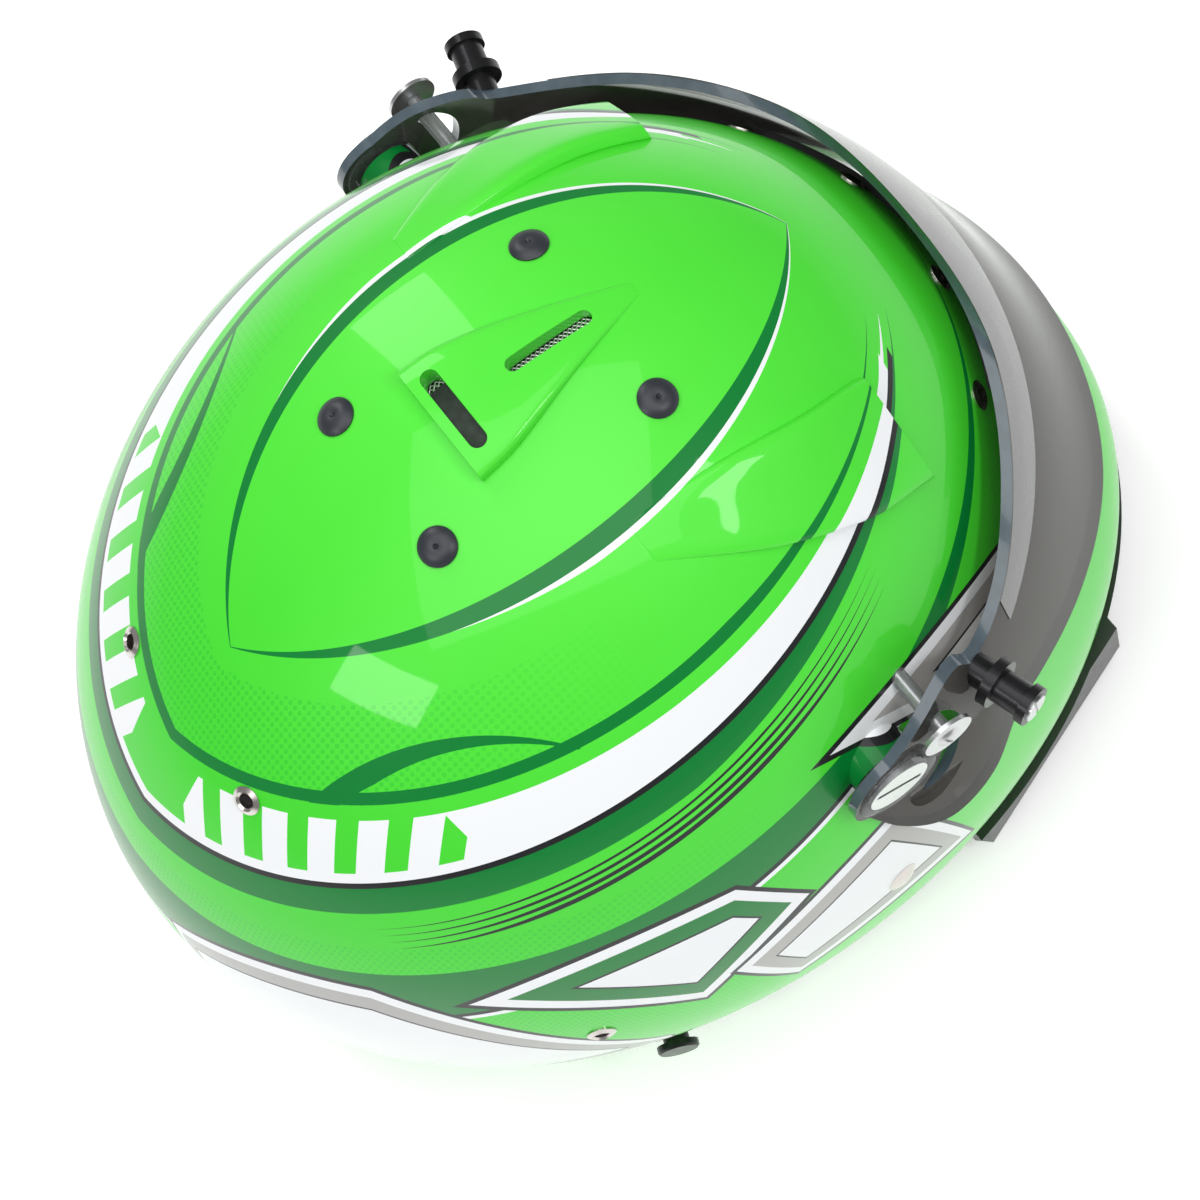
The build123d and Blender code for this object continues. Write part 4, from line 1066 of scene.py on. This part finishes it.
@dataclass
class Hardware:
    """Carried-over CAD nodes and their finishes."""

    finishes: dict[str, Stuff] = field(default_factory=lambda: {
        "eyeport_gasket": Stuff.RUBBER, "edge_trim": Stuff.RUBBER, "brow_eyelets": Stuff.EYELET,
        "side_eyelets": Stuff.EYELET, "rear_eyelets": Stuff.EYELET, "crown_plugs": Stuff.PLUG,
        "crown_vent_mesh": Stuff.WIRES, "wing_vent_mesh": Stuff.WIRES, "chin_spoiler": Stuff.BLACK,
        "spoiler_screws": Stuff.STEEL, "crown_liner": Stuff.FOAM, "chin_foam": Stuff.FOAM,
        "d_ring_inner": Stuff.STEEL, "d_ring_outer": Stuff.STEEL, "pivot_bases": Stuff.PAINT,
        "pivot_screws": Stuff.BRIGHT, "guide_sleeves": Stuff.TUBE, "guide_washers": Stuff.WASHER,
        "guide_screws": Stuff.STEEL, "tear_off_posts": Stuff.ANODISED, "post_caps": Stuff.STEEL,
        "restraint_posts": Stuff.ANODISED, "restraint_nuts": Stuff.STEEL, "strap_rivets": Stuff.EYELET,
        "strap_anchors": Stuff.STEEL,
    })

    def build(self) -> None:
        """Dress each node."""
        for node, stuff in self.finishes.items():
            dress(node, stuff)


@dataclass
class Lining:
    """Comfort liner, cheek pads and neck roll as crowned cloth pieces."""

    liner_out: float = -34.3
    liner_in: float = -41.3
    liner_low: float = 76.0
    cut_y: float = -45.0
    cut_top: float = 166.0
    pad_front: float = -72.0
    pad_rear: float = 52.0
    pad_low: float = 14.0
    pad_top: float = 73.8
    head: tuple[float, float, float] = (74.0, 100.0, 14.0)
    roll_turns: tuple[float, float] = (116.0, 244.0)
    roll_height: float = 23.5
    roll_tall: float = 11.8
    roll_depth: float = 15.0
    roll_thick: float = 10.3
    roll_gap: float = 4.0

    def comfort_liner(self) -> None:
        """Quilted cap: a wall between two grown forms whose inside swells between sewn channels."""
        turn = full_circle(200)[None, :]
        grids = []
        for grow, rows in ((self.liner_out - 0.2, 30), (self.liner_in + 0.6, 60)):
            start = math.asin((self.liner_low + 0.3 - FORM.widest) / (FORM.rise + grow))
            climb = np.linspace(start, np.pi / 2, rows)[:, None]
            height = FORM.widest + (FORM.rise + grow) * np.sin(climb) + 0 * turn
            points = FORM.points(turn, height, grow)
            if grow > self.liner_out - 1:
                grids.append(points)
                continue
            centre = np.array([0.0, 0.0, FORM.widest])
            swell = np.abs(np.sin(6 * turn)) ** 0.5 * np.abs(np.sin(5 * climb)) ** 0.5
            toward = centre - points
            toward = toward / np.maximum(np.linalg.norm(toward, axis=-1, keepdims=True), 1e-6)
            grids.append(points + toward * (swell - 0.6)[..., None] * 1.2)
        piece = make_piece("comfort_cap", *closed_wall(*grids), Stuff.KNIT.material())
        box = np.array([(-200, -200), (200, -200), (200, self.cut_y), (-200, self.cut_y)], float)
        carve(piece, [prism(box, 2, -50.0, self.cut_top)])
        settle(piece, "helmet", "lining_cloth", "comfort_liner")

    def cheek_pad(self, side: int) -> None:
        """Crowned pad: a superellipse in side view whose two faces close as (1 - r^6)^(1/3) at the edge."""
        r = np.concatenate([np.linspace(0, 1, 30), np.linspace(1, 0, 24)[1:]])[:, None]
        turn = full_circle(160)[None, :]
        cos, sin = np.cos(turn), np.sin(turn)
        shape = (np.abs(cos) ** 5 + np.abs(sin) ** 5) ** (-1 / 5)
        y = (self.pad_front + self.pad_rear) / 2 + (self.pad_rear - self.pad_front - 1) / 2 * r * shape * cos
        z = (self.pad_low + self.pad_top) / 2 + (self.pad_top - self.pad_low - 1) / 2 * r * shape * sin
        half, reach, middle = self.head
        face = half * np.sqrt(np.maximum(0, 1 - ((y - middle) / reach) ** 2))
        wide, front, rear = FORM.section(z, -3.9)
        centre = (front + rear) / 2
        wall = wide * np.sqrt(np.maximum(0, 1 - ((y - centre) / ((rear - front) / 2)) ** 2))
        close = np.maximum(0, 1 - r**6) ** (1 / 3) + 0 * turn
        inward = (np.arange(len(r)) < 30)[:, None]
        mid = (face + wall) / 2
        quilt = 0.8 * np.exp(-(((r - 0.62) / 0.03) ** 2))
        x = np.where(inward, mid - (mid - face) * close + quilt, mid + (wall - mid) * close)
        grid = np.stack([side * x, y + 0 * x, z + 0 * x], axis=-1)
        verts = grid.reshape(-1, 3)
        name = SIDE_NAMES[side]
        quads = grid_faces(len(r), 160).tolist()
        piece = outward(make_piece(f"cheek_cushion_{name}", verts, quads, Stuff.KNIT.material(), 60.0))
        settle(piece, "helmet", "lining_cloth", f"cheek_pad_{name}")

    def neck_roll(self) -> None:
        """Padded roll round the rear rim: a superellipse carried along the form's inside."""
        turn = np.linspace(*np.radians(self.roll_turns), 120)[:, None]
        close = np.clip(np.minimum(turn - turn[0], turn[-1] - turn) / 0.1, 0, 1)
        close = np.sqrt(1 - (1 - close) ** 2)
        angle = full_circle(40)[None, :]
        cos, sin = np.cos(angle), np.sin(angle)
        shape = (np.abs(cos) ** 3 + np.abs(sin) ** 3) ** (-1 / 3)
        stitch = 1 - 0.1 * np.abs(np.cos(turn * 14)) ** 12
        z = self.roll_height + self.roll_tall * close * stitch * shape * sin
        depth = -self.roll_depth + self.roll_thick * close * stitch * shape * cos
        half, front, rear = FORM.section(z, -self.roll_gap)
        x = (half + depth + self.roll_gap) * np.sin(turn)
        y = (front + rear) / 2 - ((rear - front) / 2 + depth + self.roll_gap) * np.cos(turn)
        verts = np.stack([x, y, z], axis=-1).reshape(-1, 3)
        quads = grid_faces(120, 40).tolist()
        piece = outward(make_piece("neck_cushion", verts, quads, Stuff.KNIT.material(), 60.0))
        settle(piece, "helmet", "lining_cloth", "neck_roll")

    def build(self) -> None:
        """Make the lining."""
        self.comfort_liner()
        for side in SIDES:
            self.cheek_pad(side)
        self.neck_roll()


@dataclass
class Straps:
    """Chin strap of woven web: down the inside of the shell, over the cheek pad, then hanging."""

    width: float = 25.0
    thick: float = 1.6
    middle: float = -11.6
    drop_x: float = 56.0
    fold_top: float = 75.6
    ends: dict[int, float] = field(default_factory=lambda: {1: 42.6, -1: 6.0})
    ring_pitch: float = 3.6
    ring_wire: float = 1.65
    wall_turn: float = 1.65
    wall_gap: float = 3.1
    wall_heights: tuple[float, ...] = (113.0, 104.0, 92.0, 82.0)

    def route(self, side: int) -> Array:
        """Middle line of the strap in x and z, from its top by the anchor to its free end."""
        turn, grow = np.array(self.wall_turn), -self.wall_gap - self.thick
        wall = [(float(FORM.points(turn, np.array(h), grow)[0]), h) for h in self.wall_heights]
        half, top, end = self.thick / 2, self.fold_top, self.ends[side]
        over = [(112.0, 75.6), (90.0, top - half), (66.0, top - half)]
        x = self.drop_x - half
        hang = [(self.drop_x + 1.2, top - 2.4), (x, top - 9.0), (x, (top + end) / 2), (x, end)]
        return flowing([*wall, *over, *hang])

    def loop(self) -> Array:
        """Fold of the strap in x and z: a circle round both rings, parted by their pitch."""
        half = self.thick / 2
        angle = np.linspace(np.pi / 2, -3 * np.pi / 2, 33)[2:-1]
        reach = self.ring_wire + half + 0.05
        part = np.sign(np.cos(angle).round(6)) * self.ring_pitch / 2
        x = self.drop_x - half + part + reach * np.cos(angle)
        z = self.ends[1] - half - half - self.ring_wire + reach * np.sin(angle)
        return np.stack([x, z], axis=-1)

    def ribbon(self, line: Array, name: str) -> bpy.types.Object:
        """Flat strap of an even thickness carried along a line in x and z."""
        ahead = np.gradient(line, axis=0)
        normal = np.stack([-ahead[:, 1], ahead[:, 0]], axis=-1)
        normal = normal / np.linalg.norm(normal, axis=-1, keepdims=True) * self.thick / 2
        across = np.linspace(-self.width / 2, self.width / 2, 9)[None, :]
        faces = []
        for sign in (1, -1):
            flat = line + sign * normal
            x = flat[:, :1] + 0 * across
            z = flat[:, 1:] + 0 * across
            faces.append(np.stack([x, self.middle + across + 0 * x, z], axis=-1))
        return outward(make_piece(name, *closed_sheet(*faces), Stuff.STRAP.material(), 50.0))

    def build(self) -> None:
        """Make both straps and the fold round the rings."""
        for side in SIDES:
            line = self.route(side)
            if side > 0:
                line = np.vstack([line[:-2], self.loop()])
            name = SIDE_NAMES[side]
            piece = self.ribbon(line * (side, 1), f"chin_web_{name}")
            settle(piece, "helmet", "strap_web", f"strap_{name}")


@dataclass
class Studio:
    """Pale floor, soft light and the photograph's camera."""

    azimuth: float = -93.392
    elevation: float = 69.334
    roll: float = -35.19
    distance: float = 890.859
    lens: float = 90.62
    target: tuple[float, float, float] = (0.0, 5.277, 89.05)
    aim: tuple[float, float, float] = (0.0, 0.0, 0.13)
    floor_reach: float = 30.0
    floor_glow: float = 0.32
    sky: float = 0.27

    def camera(self) -> None:
        """Camera whose back, right and up follow azimuth, elevation and roll, as fitted to the photograph."""
        az, el, roll = map(math.radians, (self.azimuth, self.elevation, self.roll))
        back = Vector((math.sin(az) * math.cos(el), -math.cos(az) * math.cos(el), math.sin(el)))
        level = Vector((math.cos(az), math.sin(az), 0.0))
        upright = back.cross(level)
        right = math.cos(roll) * level + math.sin(roll) * upright
        up = -math.sin(roll) * level + math.cos(roll) * upright
        data = bpy.data.cameras.new("studio_camera")
        data.lens = self.lens
        data.sensor_width = 36.0
        data.sensor_fit = "AUTO"
        data.clip_start, data.clip_end = 0.02, 60.0
        camera = link(bpy.data.objects.new("studio_camera", data))
        matrix = Matrix((right, up, back)).transposed().to_4x4()
        matrix.translation = (Vector(self.target) + back * self.distance) * MM
        camera.matrix_world = matrix
        bpy.context.scene.camera = camera

    def lamp(
        self, name: str, place: tuple[float, float, float], size: tuple[float, float], power: float
    ) -> None:
        """Rectangular soft light at a place in metres, aimed at the helmet."""
        data = bpy.data.lights.new(name, "AREA")
        data.shape = "RECTANGLE"
        data.size, data.size_y = size
        data.energy = power
        lamp = link(bpy.data.objects.new(name, data))
        lamp.location = place
        lamp.rotation_mode = "QUATERNION"
        lamp.rotation_quaternion = (Vector(self.aim) - Vector(place)).to_track_quat("-Z", "Y")

    def floor(self) -> None:
        """Wide pale floor that glows a little, so that it stays white under soft light."""
        reach = self.floor_reach
        corners = [(-reach, -reach, 0), (reach, -reach, 0), (reach, reach, 0), (-reach, reach, 0)]
        mesh = bpy.data.meshes.new("floor")
        mesh.from_pydata(corners, [], [(0, 1, 2, 3)])
        floor = bpy.data.objects.new("floor", mesh)
        pale = Plain("pale_floor", (0.93, 0.93, 0.93), 0.85, grain=4.0, depth=0.0, spread=0.005).material()
        shader = next(node for node in pale.node_tree.nodes if node.type == "BSDF_PRINCIPLED")
        shader.inputs["Emission Color"].default_value = (1.0, 1.0, 1.0, 1.0)
        shader.inputs["Emission Strength"].default_value = self.floor_glow
        mesh.materials.append(pale)
        link(floor)

    def build(self) -> None:
        """Floor, world, lights and camera."""
        self.floor()
        world = bpy.data.worlds.new("studio_world")
        world.use_nodes = True
        world.node_tree.nodes["Background"].inputs[0].default_value = (1.0, 1.0, 1.0, 1.0)
        world.node_tree.nodes["Background"].inputs[1].default_value = self.sky
        bpy.context.scene.world = world
        self.lamp("ceiling_softbox", (-0.2, 0.1, 2.6), (2.4, 2.4), 40.0)
        self.lamp("key_softbox", (-1.0, -0.75, 1.5), (0.55, 0.35), 7.5)
        self.lamp("rear_softbox", (-0.35, 1.3, 1.35), (0.7, 0.3), 6.0)
        self.lamp("left_softbox", (1.3, 0.0, 1.2), (0.4, 0.9), 6.0)
        bpy.context.scene.view_settings.view_transform = "Standard"
        self.camera()


def main() -> None:
    """Build every sub-assembly in order."""
    logging.basicConfig(level=logging.INFO, format="%(name)s %(message)s")
    Studio().build()
    for part in (Shell(), Shield(), Hardware(), Lining(), Straps()):
        part.build()
        log.info("%s done", type(part).__name__)


if __name__ == "__main__":
    main()
